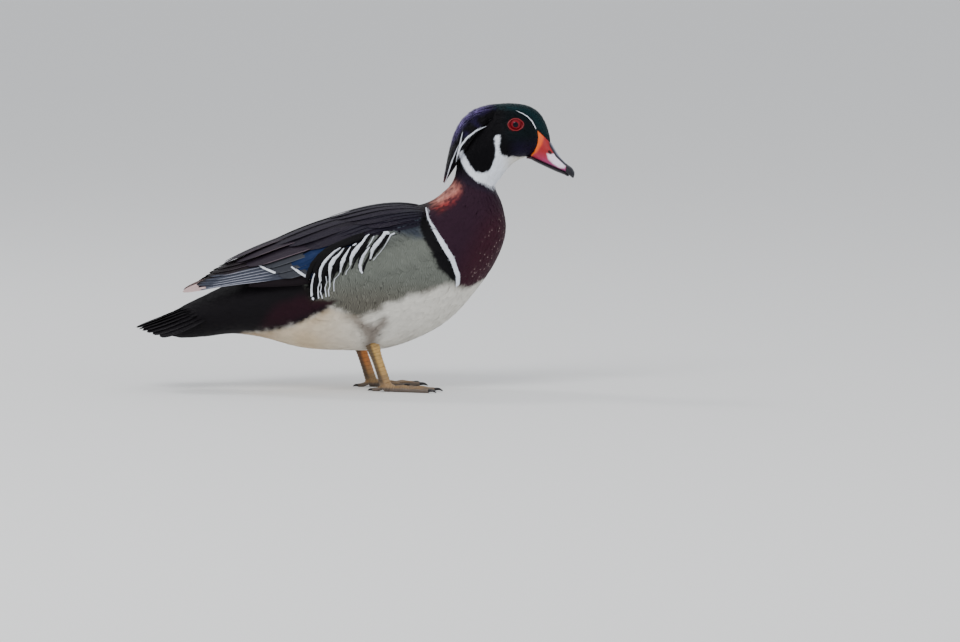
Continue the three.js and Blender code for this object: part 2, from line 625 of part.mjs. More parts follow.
// The scaled shank from inside the belly's feathers down to the foot
function leg(side, grow = 0) {
  const joint = legJoint(side);
  const heel = [
    joint[0] - TARSUS_LENGTH * Math.sin(TARSUS_LEAN),
    joint[1] - side * 2.5,
    joint[2] + TARSUS_LENGTH * Math.cos(TARSUS_LEAN),
  ];
  const along = (share) => joint.map((value, k) => between(heel[k], value, share));
  return limb(
    [
      [heel[0] - 1, heel[1], heel[2] + 8, 5.2, 4.6],
      [...along(0), 4.8, 4.2],
      [...along(0.3), 3.8, 2.9],
      [...along(0.65), 3.7, 2.8],
      [...along(1), 3.9, 3.3],
    ],
    { grow },
  );
}

// A toe with its claw, as swells at its joints, lying on the floor
function toe(joint, side, { length, girth, heading }) {
  const out = new THREE.Vector3(Math.cos(heading), side * Math.sin(heading), 0);
  const sideways = new THREE.Vector3(-out.y, out.x, 0);
  const at = (reach, height, size) => {
    return [joint[0] + out.x * reach, joint[1] + out.y * reach, height, size, size];
  };
  const flesh = TOE_SWELLS.map(([share, size]) => at(share * length, TOE_SINK * size * girth, size * girth));
  const claw = [at(0.95 * length, 1.9, 1.5), at(length + 0.45 * CLAW, 2.3, 1.2), at(length + CLAW, 0.7, 0.4)];
  return limb(flesh, { sideways }).add(limb(claw, { sideways, around: 6, along: 6 }));
}

function web(joint, side, first, second) {
  return plate(3, 3, (u, v, face) => {
    const share = (v + 1) / 2;
    const heading = side * between(first.heading, second.heading, share);
    const full = between(first.length, second.length, share) * 0.93;
    const reach = 3 + u * (full * (1 - 0.26 * Math.sin(Math.PI * share)) - 3);
    return new THREE.Vector3(
      joint[0] + Math.cos(heading) * reach,
      joint[1] + Math.sin(heading) * reach,
      0.05 + 1.2 * (1 - u) + face * WEB_THICK,
    );
  });
}

function foot(side) {
  const joint = legJoint(side);
  const pieces = [
    ...Object.values(TOES).map((size) => toe(joint, side, size)),
    web(joint, side, TOES.inner, TOES.middle),
    web(joint, side, TOES.middle, TOES.outer),
    limb([
      [joint[0] - 3, joint[1], joint[2] + 4, 5, 4.7],
      [joint[0] + 1, joint[1], joint[2] - 1, 5.2, 5],
      [joint[0] + 7, joint[1], joint[2] - 3.1, 3.4, 4.6],
    ]),
    limb(
      [
        [joint[0] - 1, joint[1] - side * 2, 4.4, 2.3, 2.3],
        [joint[0] - HIND_TOE * 0.6, joint[1] - side * 4, 1.5, 2, 1.9],
        [joint[0] - HIND_TOE, joint[1] - side * 5, 1.2, 1.7, 1.6],
        [joint[0] - HIND_TOE - 0.6 * CLAW, joint[1] - side * 5.6, 0.7, 0.5, 0.5],
      ],
      { around: 6, along: 8 },
    ),
  ];
  const floor = new THREE.BoxGeometry(400, 400, 40);
  floor.translate(0, 0, -20);
  return unionOf(pieces).subtract(solidOf(floor)).subtract(leg(side, JOINT_GAP));
}

// The feathered thigh swells out of the belly round the top of the leg.
function thigh(side) {
  const joint = legJoint(side);
  return ellipsoid([joint[0] - 17, side * 25, 54], [23, 13.5, 17], 0.4);
}

function build() {
  const group = new THREE.Group();
  const add = (name, solid, slot) => group.add(meshOf(name, solid, MATERIALS[slot]));
  const [tail, torso, neck, head] = partedBody();
  const sides = Object.values(SIDES);
  const trunk = unionOf([torso, ...sides.map(thigh)]);
  add("tail", unionOf([tail, ...tailFeathers()]), "tail_plumage");
  add("torso", sides.reduce((rest, side) => rest.subtract(leg(side, JOINT_GAP)), trunk), "body_plumage");
  add("neck", neck, "breast_plumage");
  add("head", finishedHead(head), "head_plumage");
  add("crest", crest(), "crest_plumage");
  add("bill_upper", upperBillSolid(), "bill");
  add("bill_lower", lowerBill.solid(12, 12).intersect(billSide(JOINT_GAP)), "lower_bill");
  for (const [name, side] of Object.entries(SIDES)) {
    const facing = (solid) => (side > 0 ? solid : mirrored(solid));
    add(`eye_${name}`, facing(eyeball()), "eye");
    add(`wing_${name}`, facing(wing()), "wing_plumage");
    add(`leg_${name}`, leg(side), "leg_skin");
    add(`foot_${name}`, foot(side), "leg_skin");
  }
  return group;
}

export default build();
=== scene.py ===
"""A drake wood duck, life size: its plumage, bill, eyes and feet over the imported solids."""

import logging
import math
from dataclasses import dataclass
from enum import Enum
from typing import Any, Callable, NamedTuple, Protocol, Sequence

import bmesh
import bpy
import numpy as np
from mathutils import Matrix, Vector


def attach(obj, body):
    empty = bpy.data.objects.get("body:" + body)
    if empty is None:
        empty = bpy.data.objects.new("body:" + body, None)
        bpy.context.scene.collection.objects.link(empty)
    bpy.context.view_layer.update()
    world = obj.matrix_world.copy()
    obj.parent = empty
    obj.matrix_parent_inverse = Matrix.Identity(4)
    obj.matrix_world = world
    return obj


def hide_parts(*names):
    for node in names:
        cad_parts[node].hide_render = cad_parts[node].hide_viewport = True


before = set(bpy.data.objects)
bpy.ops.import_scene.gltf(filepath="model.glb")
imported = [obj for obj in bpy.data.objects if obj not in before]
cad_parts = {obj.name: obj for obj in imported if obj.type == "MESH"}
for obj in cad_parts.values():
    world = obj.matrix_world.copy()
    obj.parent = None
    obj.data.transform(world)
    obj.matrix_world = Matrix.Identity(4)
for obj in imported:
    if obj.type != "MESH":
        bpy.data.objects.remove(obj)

Array = np.ndarray
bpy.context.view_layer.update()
MM = 0.001  # metres in a millimetre, in which every size here is written
BODY = "root"
SEED = 11
MAP_MARGIN = 0.01  # left free round every bake map
MAP_SHARE = 0.98  # of a bake map that is used
log = logging.getLogger("wood_duck")


class Rib(NamedTuple):
    """A rib of a lofted form: its ends in the side view (x, z), half width and squareness."""

    back: tuple[float, float]
    belly: tuple[float, float]
    half: float
    wide: float = 0.5
    crown: float = 2
    keel: float = 2


TRUNK_RIBS = [
    Rib((-167, 62), (-167, 50), 1.5),
    Rib((-152, 73), (-154, 45.5), 12.5),
    Rib((-130, 84), (-130, 46.5), 20),
    Rib((-108, 95), (-107, 49), 28, 0.5, 2, 2.1),
    Rib((-79, 110), (-80, 45.5), 39, 0.5, 2.2, 2.2),
    Rib((-44, 130), (-47, 37), 49, 0.48, 2.4, 2.3),
    Rib((-9, 146.5), (-12, 34.6), 54, 0.46, 2.5, 2.3),
    Rib((23, 156), (24, 35.6), 55.5, 0.46, 2.5, 2.2),
    Rib((46, 160.5), (57, 46.2), 53, 0.46, 2.4, 2.1),
    Rib((61, 163.5), (85, 63.3), 47.5, 0.46, 2.2),
    Rib((71, 168.5), (109, 90.5), 40.5, 0.47),
    Rib((78.5, 174.5), (125, 115), 33, 0.48),
    Rib((85, 181.5), (132.8, 139), 26),
    Rib((88.4, 190.5), (130, 161.5), 20.5),
    Rib((89.4, 200.5), (123.4, 178.4), 17.3),
    Rib((89.8, 212), (128, 185.8), 17.4, 0.52),
    Rib((92.4, 224), (132.8, 192.4), 18.2, 0.55),
    Rib((99, 236), (138, 198.2), 18.6, 0.58),
    Rib((110.5, 245.6), (143, 201.8), 18.3, 0.6),
    Rib((125, 251.2), (146, 203), 17.5, 0.62),
    Rib((140, 252), (149.2, 204), 16, 0.62, 2.1),
    Rib((153, 249.6), (152, 204.5), 13.4, 0.62, 2.1),
    Rib((162, 243.8), (154.6, 205), 10.8, 0.64, 2, 2.2),
    Rib((167.6, 235), (158, 207), 8.7, 0.66, 2, 2.2),
    Rib((170.8, 225.6), (163, 210.6), 6, 0.66),
    Rib((172.2, 217.8), (171.6, 217.2), 0.4),
]
CREST_RIBS = [
    Rib((131, 252), (129, 249.5), 1, 0.6),
    Rib((119, 250.8), (121, 239), 13.5, 0.9),
    Rib((106.8, 247.3), (113.5, 233), 18, 0.9),
    Rib((96.8, 240.6), (107.5, 226), 19.9, 0.88),
    Rib((89.7, 230.5), (102.5, 218.5), 19.6, 0.85),
    Rib((85.4, 219.5), (97.5, 210.5), 17.8, 0.8),
    Rib((82.7, 207.8), (92.5, 203.5), 13.5, 0.75),
    Rib((80.6, 197.6), (88.2, 196.4), 9.2, 0.6),
    Rib((79, 189.5), (83.5, 189.6), 5.4),
    Rib((78, 182), (78.6, 181.8), 0.6),
]
UPPER_BILL_RIBS = [
    Rib((157.5, 236), (151, 206.4), 7, 0.6, 3, 3),
    Rib((162, 234), (154, 205.4), 9.2, 0.66, 3, 3.4),
    Rib((166.5, 228.5), (159.6, 202.5), 9.1, 0.68, 2.6, 3.6),
    Rib((171.6, 219.2), (166, 199.7), 8.7, 0.74, 2.3, 4),
    Rib((175.8, 211), (172, 197), 8.2, 0.74, 2.2, 4),
    Rib((180, 204.6), (177.4, 194.7), 7.9, 0.7, 2.3, 4),
    Rib((185.7, 198.6), (183.6, 192.2), 7.5, 0.62, 2.2, 3.4),
    Rib((190.4, 195.2), (188.6, 188.6), 5.9, 0.55, 2, 2.4),
    Rib((192.7, 191.6), (191.7, 186.4), 3.4),
    Rib((192.9, 188.9), (192.7, 188.2), 0.5),
]
LOWER_BILL_RIBS = [
    Rib((150.8, 205), (150.6, 203.2), 3, 0.4, 3),
    Rib((155, 204.2), (154.4, 202.5), 6.8, 0.3, 3),
    Rib((160.6, 201.4), (159.6, 199.8), 7.2, 0.3, 3),
    Rib((169, 197.6), (167.6, 196), 6.9, 0.3, 3),
    Rib((177.8, 193.8), (176.6, 191.9), 6.6, 0.3, 3),
    Rib((184.4, 191), (183.4, 189.2), 5.8, 0.35, 3),
    Rib((187.2, 189), (186.7, 187.6), 3.8, 0.4),
    Rib((188.2, 188.2), (188, 187.6), 0.6),
]
WING_TOP = [
    (66, 9, 161), (50, 4.5, 163), (20.5, 2.5, 160.5), (-11, 2, 152.5), (-43, 2, 142),
    (-72, 2, 129.5), (-93, 2.5, 117.5), (-111, 4, 111.5), (-131, 6, 101.5), (-150, 9, 88.5),
]
WING_LOW = [
    (62, 40, 150), (46, 51, 142), (20, 57, 130), (-8, 58.5, 117), (-38, 55.5, 98),
    (-66, 48.5, 94), (-90, 41, 93), (-112, 33, 93), (-132, 24, 90), (-152, 13, 85.5),
]


def catmull(points: Array, share: Array) -> Array:
    """Reads a smooth curve through points.

    Args:
        points: The points, evenly spaced in share.
        share: Where to read it, from 0 to 1, in any shape.

    Returns:
        The curve's points, with the shape of share and one more axis.
    """
    count = len(points) - 1
    padded = np.vstack([2 * points[0] - points[1], points, 2 * points[-1] - points[-2]])
    place = np.clip(share, 0, 1) * count
    index = np.minimum(place.astype(int), count - 1)
    w = (place - index)[..., None]
    before, start, end, after = (padded[index + k] for k in range(4))
    leave = (end - before) / 2
    arrive = (after - start) / 2
    cube = 2 * start - 2 * end + leave + arrive
    square = -3 * start + 3 * end - 2 * leave - arrive
    return ((cube * w + square) * w + leave) * w + start


def unit(vectors: Array) -> Array:
    """Scales vectors to length one."""
    return vectors / np.maximum(np.linalg.norm(vectors, axis=-1, keepdims=True), 1e-9)


def ramp(value: Array, low: float, high: float) -> Array:
    """A smooth step from 0 at low to 1 at high."""
    share = np.clip((value - low) / (high - low), 0, 1)
    return share * share * (3 - 2 * share)


class Surface(Protocol):
    """A surface that feathers lie on, read by two shares."""

    def place(self, first: Array, second: Array) -> Array:
        """A point of it, in millimetres."""

    def facing(self, first: Array, second: Array) -> Array:
        """The way it faces there."""


class RibSkin:
    """A closed form lofted over ribs, from its first to its last, with angle 0 on the back."""

    def __init__(self, ribs: Sequence[Rib]) -> None:
        """Keeps the ribs as arrays.

        Args:
            ribs: The ribs, in order.
        """
        self.count = len(ribs) - 1
        self.backs = np.array([(r.back[0], r.half, r.back[1]) for r in ribs], float)
        self.bellies = np.array([(r.belly[0], r.wide, r.belly[1]) for r in ribs], float)
        self.shapes = np.array([(r.crown, r.keel) for r in ribs], float)

    def place(self, first: Array, second: Array, grow: Array | float = 0) -> Array:
        """Points of the form.

        Args:
            first: Shares of its length.
            second: Angles round it, in radians.
            grow: How far outside the form, in millimetres.

        Returns:
            The points.
        """
        share, angle = np.broadcast_arrays(np.asarray(first, float), np.asarray(second, float))
        back = catmull(self.backs, share)
        belly = catmull(self.bellies, share)
        shape = catmull(self.shapes, share)
        half = np.maximum(back[..., 1], 0.05) + grow
        wide = belly[..., 1].copy()
        back[..., 1] = 0
        belly[..., 1] = 0
        down = belly - back
        reach = np.linalg.norm(down, axis=-1) + 2 * np.asarray(grow)
        c = np.cos(angle)
        s = np.sin(angle)
        bend = 2 / np.where(c >= 0, shape[..., 0], shape[..., 1])
        level = np.where(c >= 0, wide * (1 - np.abs(c) ** bend), wide + (1 - wide) * np.abs(c) ** bend)
        made = back + unit(down) * (level * reach - grow)[..., None]
        made[..., 1] += half * np.sign(s) * np.abs(s) ** bend
        return made

    def slopes(self, first: Array, second: Array) -> tuple[Array, Array]:
        """How a point moves with each share, in millimetres for one of it.

        Args:
            first: Shares of the length.
            second: Angles round it, in radians.

        Returns:
            The moves for the first share and for the second.
        """
        step = 0.004
        inner = np.clip(first, 2 * step, 1 - 2 * step)
        along = (self.place(inner + step, second) - self.place(inner - step, second)) / (2 * step)
        step = 0.03
        turn = (self.place(inner, second + step) - self.place(inner, second - step)) / (2 * step)
        return along, turn

    def facing(self, first: Array, second: Array) -> Array:
        """The way the form faces, outwards.

        Args:
            first: Shares of the length.
            second: Angles round it, in radians.

        Returns:
            Unit vectors.
        """
        along, turn = self.slopes(first, second)
        normal = unit(np.cross(along, turn))
        back = catmull(self.backs, np.asarray(first, float))
        belly = catmull(self.bellies, np.asarray(first, float))
        middle = back + (belly - back) * belly[..., 1:2]
        middle[..., 1] = 0
        away = np.sum(normal * (self.place(first, second) - middle), axis=-1, keepdims=True)
        return np.where(away < 0, -normal, normal)


class WingSurface:
    """The folded wing's outer face: shares run from shoulder to tip and from back to flank."""

    def __init__(self, side: int) -> None:
        """Keeps the edges.

        Args:
            side: 1 for the left wing and -1 for the right.
        """
        flip = np.array([1, side, 1])
        self.side = side
        self.top = np.array(WING_TOP, float) * flip
        self.low = np.array(WING_LOW, float) * flip

    def place(self, first: Array, second: Array) -> Array:
        """Points of the wing.

        Args:
            first: Shares from the shoulder to the tip.
            second: Shares from the back to the flank.

        Returns:
            The points.
        """
        first, second = np.broadcast_arrays(np.asarray(first, float), np.asarray(second, float))
        top = catmull(self.top, first)
        low = catmull(self.low, first)
        turn = np.clip(second, 0, 1) * math.pi / 2
        made = np.empty_like(top)
        made[..., 0] = top[..., 0] + (low[..., 0] - top[..., 0]) * second
        made[..., 1] = top[..., 1] + (low[..., 1] - top[..., 1]) * np.sin(turn) ** 0.92
        made[..., 2] = low[..., 2] + (top[..., 2] - low[..., 2]) * np.cos(turn) ** 0.92
        return made

    def facing(self, first: Array, second: Array) -> Array:
        """The way the wing faces, outwards.

        Args:
            first: Shares from the shoulder to the tip.
            second: Shares from the back to the flank.

        Returns:
            Unit vectors.
        """
        step = 0.02
        first, second = np.broadcast_arrays(np.asarray(first, float), np.asarray(second, float))
        along = np.clip(first, step, 1 - step)
        inner = np.clip(second, 0.08, 0.92)
        length = self.place(along + step, inner) - self.place(along - step, inner)
        girth = self.place(along, inner + step) - self.place(along, inner - step)
        return unit(np.cross(girth, length)) * self.side


TRUNK = RibSkin(TRUNK_RIBS)
CREST = RibSkin(CREST_RIBS)
UPPER_BILL = RibSkin(UPPER_BILL_RIBS)
LOWER_BILL = RibSkin(LOWER_BILL_RIBS)


class Sketch:
    """Adds linked nodes to one node tree."""

    def __init__(self, tree: bpy.types.NodeTree) -> None:
        """Keeps the tree that the nodes go into."""
        self.tree = tree

    def add(self, kind: str, inputs: dict[Any, Any] | None = None, **settings: Any) -> bpy.types.Node:
        """Adds a node.

        Args:
            kind: The node's type.
            inputs: Sockets to link or values to set, by the input's name or number.
            **settings: The node's own properties.

        Returns:
            The node.
        """
        node = self.tree.nodes.new(kind)
        for name, value in settings.items():
            setattr(node, name, value)
        for key, value in (inputs or {}).items():
            if isinstance(value, bpy.types.NodeSocket):
                self.tree.links.new(value, node.inputs[key])
            else:
                node.inputs[key].default_value = value
        return node

    def math(self, operation: str, *values: Any, clamp: bool = False) -> bpy.types.NodeSocket:
        """Adds a maths node and gives its output."""
        node = self.add("ShaderNodeMath", dict(enumerate(values)), operation=operation, use_clamp=clamp)
        return node.outputs[0]

    def plus(self, first: Any, second: Any) -> bpy.types.NodeSocket:
        """Adds two numbers."""
        return self.math("ADD", first, second)

    def minus(self, first: Any, second: Any, clamp: bool = False) -> bpy.types.NodeSocket:
        """Takes the second number from the first."""
        return self.math("SUBTRACT", first, second, clamp=clamp)

    def times(self, first: Any, second: Any, clamp: bool = False) -> bpy.types.NodeSocket:
        """Multiplies two numbers."""
        return self.math("MULTIPLY", first, second, clamp=clamp)

    def past(self, value: Any, start: Any, soft: float) -> bpy.types.NodeSocket:
        """A mask of where a value is past a start, 1 from soft further on."""
        return self.math("DIVIDE", self.minus(value, start), soft, clamp=True)

    def vector(self, operation: str, *values: Any) -> bpy.types.NodeSocket:
        """Adds a vector maths node and gives its vector output."""
        keys = (0, "Scale") if operation == "SCALE" else range(len(values))
        return self.add("ShaderNodeVectorMath", dict(zip(keys, values)), operation=operation).outputs[0]

    def mix(self, share: Any, first: Any, second: Any) -> bpy.types.NodeSocket:
        """Mixes two colours by a share."""
        return self.add("ShaderNodeMix", {0: share, 6: first, 7: second}, data_type="RGBA").outputs[2]

    def read(self, name: str, output: str = "Vector") -> bpy.types.NodeSocket:
        """Reads an attribute of the mesh."""
        return self.add("ShaderNodeAttribute", attribute_name=name).outputs[output]

    def noise(self, place: Any, scale: float, detail: float) -> bpy.types.NodeSocket:
        """Adds a noise texture and gives its value."""
        return self.add("ShaderNodeTexNoise", {"Vector": place, "Scale": scale, "Detail": detail}).outputs[0]

    def principled(self, inputs: dict[str, Any]) -> None:
        """Ends a material with its shader and output."""
        shader = self.add("ShaderNodeBsdfPrincipled", inputs)
        self.add("ShaderNodeOutputMaterial", {0: shader.outputs[0]})


def blank_material(name: str) -> tuple[bpy.types.Material, Sketch]:
    """Starts a material with an empty node tree."""
    made = bpy.data.materials.new(name)
    made.use_nodes = True
    made.node_tree.nodes.clear()
    return made, Sketch(made.node_tree)


def open_group(name: str, given: dict[str, str], made: dict[str, str]) -> Sketch:
    """Starts a shader node group.

    Args:
        name: Its name.
        given: The kind of each input, by its name.
        made: The kind of each output, by its name.

    Returns:
        The sketch of its tree.
    """
    tree = bpy.data.node_groups.new(name, "ShaderNodeTree")
    for way, sockets in (("INPUT", given), ("OUTPUT", made)):
        for socket, kind in sockets.items():
            tree.interface.new_socket(socket, in_out=way, socket_type=f"NodeSocket{kind}")
    return Sketch(tree)


class FeatherShape(Enum):
    """The outlines that a feather may have."""

    CONTOUR = "contour"
    LOCK = "lock"
    QUILL = "quill"
    BROAD = "broad"
    BLUNT = "blunt"

    def width(self, share: Array) -> Array:
        """The half width along the feather, as a share of its greatest.

        Args:
            share: Where along it, from the root at 0 to the tip at 1.

        Returns:
            The half widths.
        """
        if self is FeatherShape.LOCK:
            return np.sqrt(np.clip(1 - share**2.2, 0, 1)) * np.minimum(1, 0.55 + share)
        start, sharp = {
            FeatherShape.CONTOUR: (0.45, 2.0),
            FeatherShape.QUILL: (0.72, 2.0),
            FeatherShape.BROAD: (0.55, 2.3),
            FeatherShape.BLUNT: (0.82, 2),
        }[self]
        tip = np.clip((share - start) / (1 - start), 0, 1)
        return np.minimum(1, 0.3 + 2 * share) * np.clip(1 - tip**sharp, 0, 1) ** (1 / sharp)


@dataclass(frozen=True)
class FeatherForm:
    """The mesh of one feather, lying along +X with its root at the origin.

    Its X is the share of its length, Y the share of its half width, and Z the layer:
    1 on top, 0 below and more than 1 along the shaft.
    """

    shape: FeatherShape
    steps: int
    across: int
    shaft: float = 1.3

    def build(self, name: str) -> bpy.types.Object:
        """Makes the feather's closed mesh.

        Args:
            name: The object's name.

        Returns:
            The object, which the plume tree repeats.
        """
        made = bmesh.new()
        rows = 1 - (1 - np.linspace(0, 1, self.steps + 1)) ** 1.5
        columns = np.linspace(-1, 1, self.across + 1)
        layers = []
        for top in (0, 1):
            grid = []
            for u in rows:
                half = float(self.shape.width(np.array(u)))
                row = []
                for v in columns:
                    edge = abs(v) == 1 or half < 1e-3
                    height = 0.5 if edge else top * (self.shaft if v == 0 else 1)
                    row.append(made.verts.new((u, v * half, height)))
                grid.append(row)
            layers.append(grid)
        for top, grid in enumerate(layers):
            for i in range(self.steps):
                for j in range(self.across):
                    corners = [grid[i][j], grid[i + 1][j], grid[i + 1][j + 1], grid[i][j + 1]]
                    made.faces.new(corners if top else corners[::-1])
        low, high = layers
        made.faces.new([low[0][j] for j in range(self.across + 1)] + high[0][1:-1][::-1])
        bmesh.ops.remove_doubles(made, verts=made.verts, dist=1e-5)
        bmesh.ops.dissolve_degenerate(made, edges=made.edges, dist=1e-6)
        bmesh.ops.recalc_face_normals(made, faces=made.faces)
        for edge in made.edges:
            edge.smooth = not all(abs(vert.co.z - 0.5) < 1e-6 for vert in edge.verts)
        mesh = bpy.data.meshes.new(name)
        made.to_mesh(mesh)
        made.free()
        item = bpy.data.objects.new(name, mesh)
        bpy.context.scene.collection.objects.link(item)
        return item


class PlumeTree:
    """The node tree that lays a feather along the curve of every root point."""

    SOCKETS = {
        "Feather": "NodeSocketObject",
        "Thickness": "NodeSocketFloat",
        "Patch": "NodeSocketFloat",
        "Tilt": "NodeSocketFloat",
        "Seed": "NodeSocketInt",
        "Finish": "NodeSocketMaterial",
    }

    def __init__(self) -> None:
        """Builds the tree."""
        self.tree = bpy.data.node_groups.new("plumes", "GeometryNodeTree")
        face = self.tree.interface
        face.new_socket("Geometry", in_out="INPUT", socket_type="NodeSocketGeometry")
        self.keys = {
            name: face.new_socket(name, in_out="INPUT", socket_type=kind).identifier
            for name, kind in self.SOCKETS.items()
        }
        face.new_socket("Geometry", in_out="OUTPUT", socket_type="NodeSocketGeometry")
        self.sketch = Sketch(self.tree)
        self.given = self.sketch.add("NodeGroupInput").outputs
        self._link()

    def _read(self, name: str, kind: str = "FLOAT_VECTOR") -> bpy.types.NodeSocket:
        """Reads an attribute of the root points."""
        return self.sketch.add("GeometryNodeInputNamedAttribute", {"Name": name}, data_type=kind).outputs[0]

    def _store(self, geometry: Any, name: str, value: Any, kind: str, domain: str = "POINT") -> Any:
        """Stores an attribute and gives the geometry on.

        Args:
            geometry: The geometry.
            name: The attribute's name.
            value: Its value.
            kind: Its data type.
            domain: Where it is stored.

        Returns:
            The geometry with the attribute.
        """
        node = self.sketch.add(
            "GeometryNodeStoreNamedAttribute",
            {"Geometry": geometry, "Name": name, "Value": value},
            data_type=kind,
            domain=domain,
        )
        return node.outputs[0]

    def _bend(self) -> tuple[Any, Any]:
        """Where each vertex of a realised feather goes, and its own coordinates."""
        draw = self.sketch
        position = draw.add("GeometryNodeInputPosition").outputs[0]
        root = self._read("root_at")
        local = draw.vector("SUBTRACT", position, root)
        share, side, layer = draw.add("ShaderNodeSeparateXYZ", {0: local}).outputs
        rest = draw.minus(1.0, share)
        first = draw.vector("SUBTRACT", self._read("middle_at"), root)
        second = draw.vector("SUBTRACT", self._read("tip_at"), self._read("middle_at"))
        begun = draw.vector("SCALE", first, draw.times(rest, draw.times(share, 2.0)))
        reach = draw.vector("ADD", first, second)
        ended = draw.vector("SCALE", reach, draw.times(share, share))
        line = draw.vector("ADD", root, draw.vector("ADD", begun, ended))
        forward = draw.vector("SCALE", first, rest)
        tangent = draw.vector("NORMALIZE", draw.vector("ADD", forward, draw.vector("SCALE", second, share)))
        turn = draw.vector("SUBTRACT", self._read("face_tip"), self._read("face_root"))
        facing = draw.vector("ADD", self._read("face_root"), draw.vector("SCALE", turn, share))
        flat = draw.vector("NORMALIZE", draw.vector("CROSS_PRODUCT", facing, tangent))
        up = draw.vector("CROSS_PRODUCT", tangent, flat)
        out = draw.times(side, self._read("girth", "FLOAT"))
        tilt = draw.times(self._read("tilt", "FLOAT"), self.given["Tilt"])
        lean = draw.times(out, tilt)
        fall = draw.times(draw.times(out, side), self._read("cup", "FLOAT"))
        taper = draw.minus(1.0, draw.times(share, 0.5))
        depth = draw.times(draw.times(layer, self.given["Thickness"]), taper)
        height = draw.plus(draw.minus(depth, fall), lean)
        place = draw.vector("ADD", line, draw.vector("SCALE", flat, out))
        return draw.vector("ADD", place, draw.vector("SCALE", up, height)), (share, side)

    def _link(self) -> None:
        """Links the tree from root points to finished feathers."""
        draw = self.sketch
        draws = draw.add("FunctionNodeRandomValue", {2: -1.0, 3: 1.0, "Seed": self.given["Seed"]})
        roots = self._store(self.given["Geometry"], "tilt", draws.outputs[1], "FLOAT")
        position = draw.add("GeometryNodeInputPosition").outputs[0]
        roots = self._store(roots, "root_at", position, "FLOAT_VECTOR")
        feather = draw.add("GeometryNodeObjectInfo", {"Object": self.given["Feather"]})
        spread = draw.add(
            "GeometryNodeInstanceOnPoints",
            {"Points": roots, "Instance": feather.outputs["Geometry"]},
        )
        solid = draw.add("GeometryNodeRealizeInstances", {0: spread.outputs[0]}).outputs[0]
        place, (share, side) = self._bend()
        own = draw.add("ShaderNodeCombineXYZ", {0: share, 1: side, 2: self._read("tilt", "FLOAT")})
        marked = self._store(solid, "vane", own.outputs[0], "FLOAT_VECTOR")
        across = draw.times(side, 0.5)
        along = draw.minus(share, 0.5)
        spot = draw.add("ShaderNodeCombineXYZ", {0: across, 1: along})
        spot = draw.vector("SCALE", spot.outputs[0], self.given["Patch"])
        spot = draw.vector("ADD", self._read("patch_at"), spot)
        bent = draw.add("GeometryNodeSetPosition", {"Geometry": marked, "Position": place}).outputs[0]
        marked = self._store(bent, "OFBake", spot, "FLOAT2", "CORNER")
        smooth = draw.add("GeometryNodeSetShadeSmooth", {0: marked}).outputs[0]
        inputs = {"Geometry": smooth, "Material": self.given["Finish"]}
        draw.add("NodeGroupOutput", {0: draw.add("GeometryNodeSetMaterial", inputs).outputs[0]})


def linear(red: float, green: float, blue: float) -> tuple[float, float, float]:
    """Turns a display colour of 0 to 255 into a linear one."""
    shares = (red / 255, green / 255, blue / 255)
    return tuple(s / 12.92 if s <= 0.04045 else ((s + 0.055) / 1.055) ** 2.4 for s in shares)


@dataclass(frozen=True)
class Palette:
    """The colours of the plumage, linear."""

    black: tuple = linear(9, 8, 11)
    green: tuple = linear(14, 42, 46)
    purple: tuple = linear(42, 31, 76)
    # Painted rim light on the crest's ridge: a pale violet sheen and a near-white highlight
    lilac_rim_sheen: tuple = linear(112, 90, 156)
    frost_rim_highlight: tuple = linear(206, 200, 226)
    lid: tuple = linear(104, 14, 24)
    white: tuple = linear(228, 233, 242)
    cream: tuple = linear(214, 205, 182)
    maroon: tuple = linear(54, 19, 32)
    plum: tuple = linear(34, 23, 38)
    # The nape's russet is its maroon brightened by painted rim light, and the pinkish colour after it a painted
    # highlight
    russet: tuple = linear(158, 54, 52)
    salmon_highlight: tuple = linear(214, 158, 140)
    brown: tuple = linear(22, 16, 20)
    bronze: tuple = linear(66, 48, 52)
    buff: tuple = linear(106, 110, 103)
    slate: tuple = linear(60, 66, 76)
    belly: tuple = linear(214, 211, 202)
    sand: tuple = linear(205, 182, 148)
    dusk: tuple = linear(92, 76, 62)
    rump: tuple = linear(13, 10, 14)
    wine: tuple = linear(36, 11, 22)
    blue: tuple = linear(24, 41, 76)
    quill: tuple = linear(60, 64, 76)
    # Painted light: the sunlit pink-white tips of the outer primaries
    rose_sunlit_tip: tuple = linear(190, 164, 162)
    vent: tuple = linear(146, 116, 90)
    # Painted shade round the top of the leg, over the feathered upper leg's own brown
    thigh_shade: tuple = linear(84, 68, 58)
    spot: tuple = linear(190, 168, 164)


@dataclass(frozen=True)
class BarePalette:
    """The colours of the bill, lids, legs and feet, linear."""

    bill_red: tuple = linear(154, 22, 30)
    bill_pink: tuple = linear(158, 44, 88)
    bill_violet: tuple = linear(132, 46, 104)
    bill_orange: tuple = linear(228, 84, 5)
    bill_yellow: tuple = linear(222, 104, 18)
    bill_ivory: tuple = linear(236, 224, 240)
    culmen: tuple = linear(24, 22, 36)
    # Painted highlight along the culmen's ridge
    culmen_highlight: tuple = linear(136, 140, 160)
    nail: tuple = linear(11, 12, 24)
    tomium: tuple = linear(70, 34, 60)
    # Painted shade inside the nostril's opening
    nostril: tuple = linear(46, 8, 12)
    lower_bill: tuple = linear(22, 18, 26)
    chin: tuple = linear(60, 26, 36)
    lids: tuple = linear(138, 26, 36)
    # Painted light: both shanks are one colour, each painted in the tone that its side's light gave it
    right_shank: tuple = linear(186, 148, 84)
    left_shank: tuple = linear(196, 122, 60)
    sole: tuple = linear(104, 92, 82)
    toe: tuple = linear(156, 124, 82)
    shank_rear: tuple = linear(60, 50, 40)
    dusky: tuple = linear(70, 62, 60)
    stain: tuple = linear(84, 74, 64)
    claw: tuple = linear(20, 17, 18)
    web: tuple = linear(66, 60, 80)
    web_edge: tuple = linear(104, 92, 96)
    web_fold: tuple = linear(40, 35, 48)


TINTS = Palette()
BARE = BarePalette()

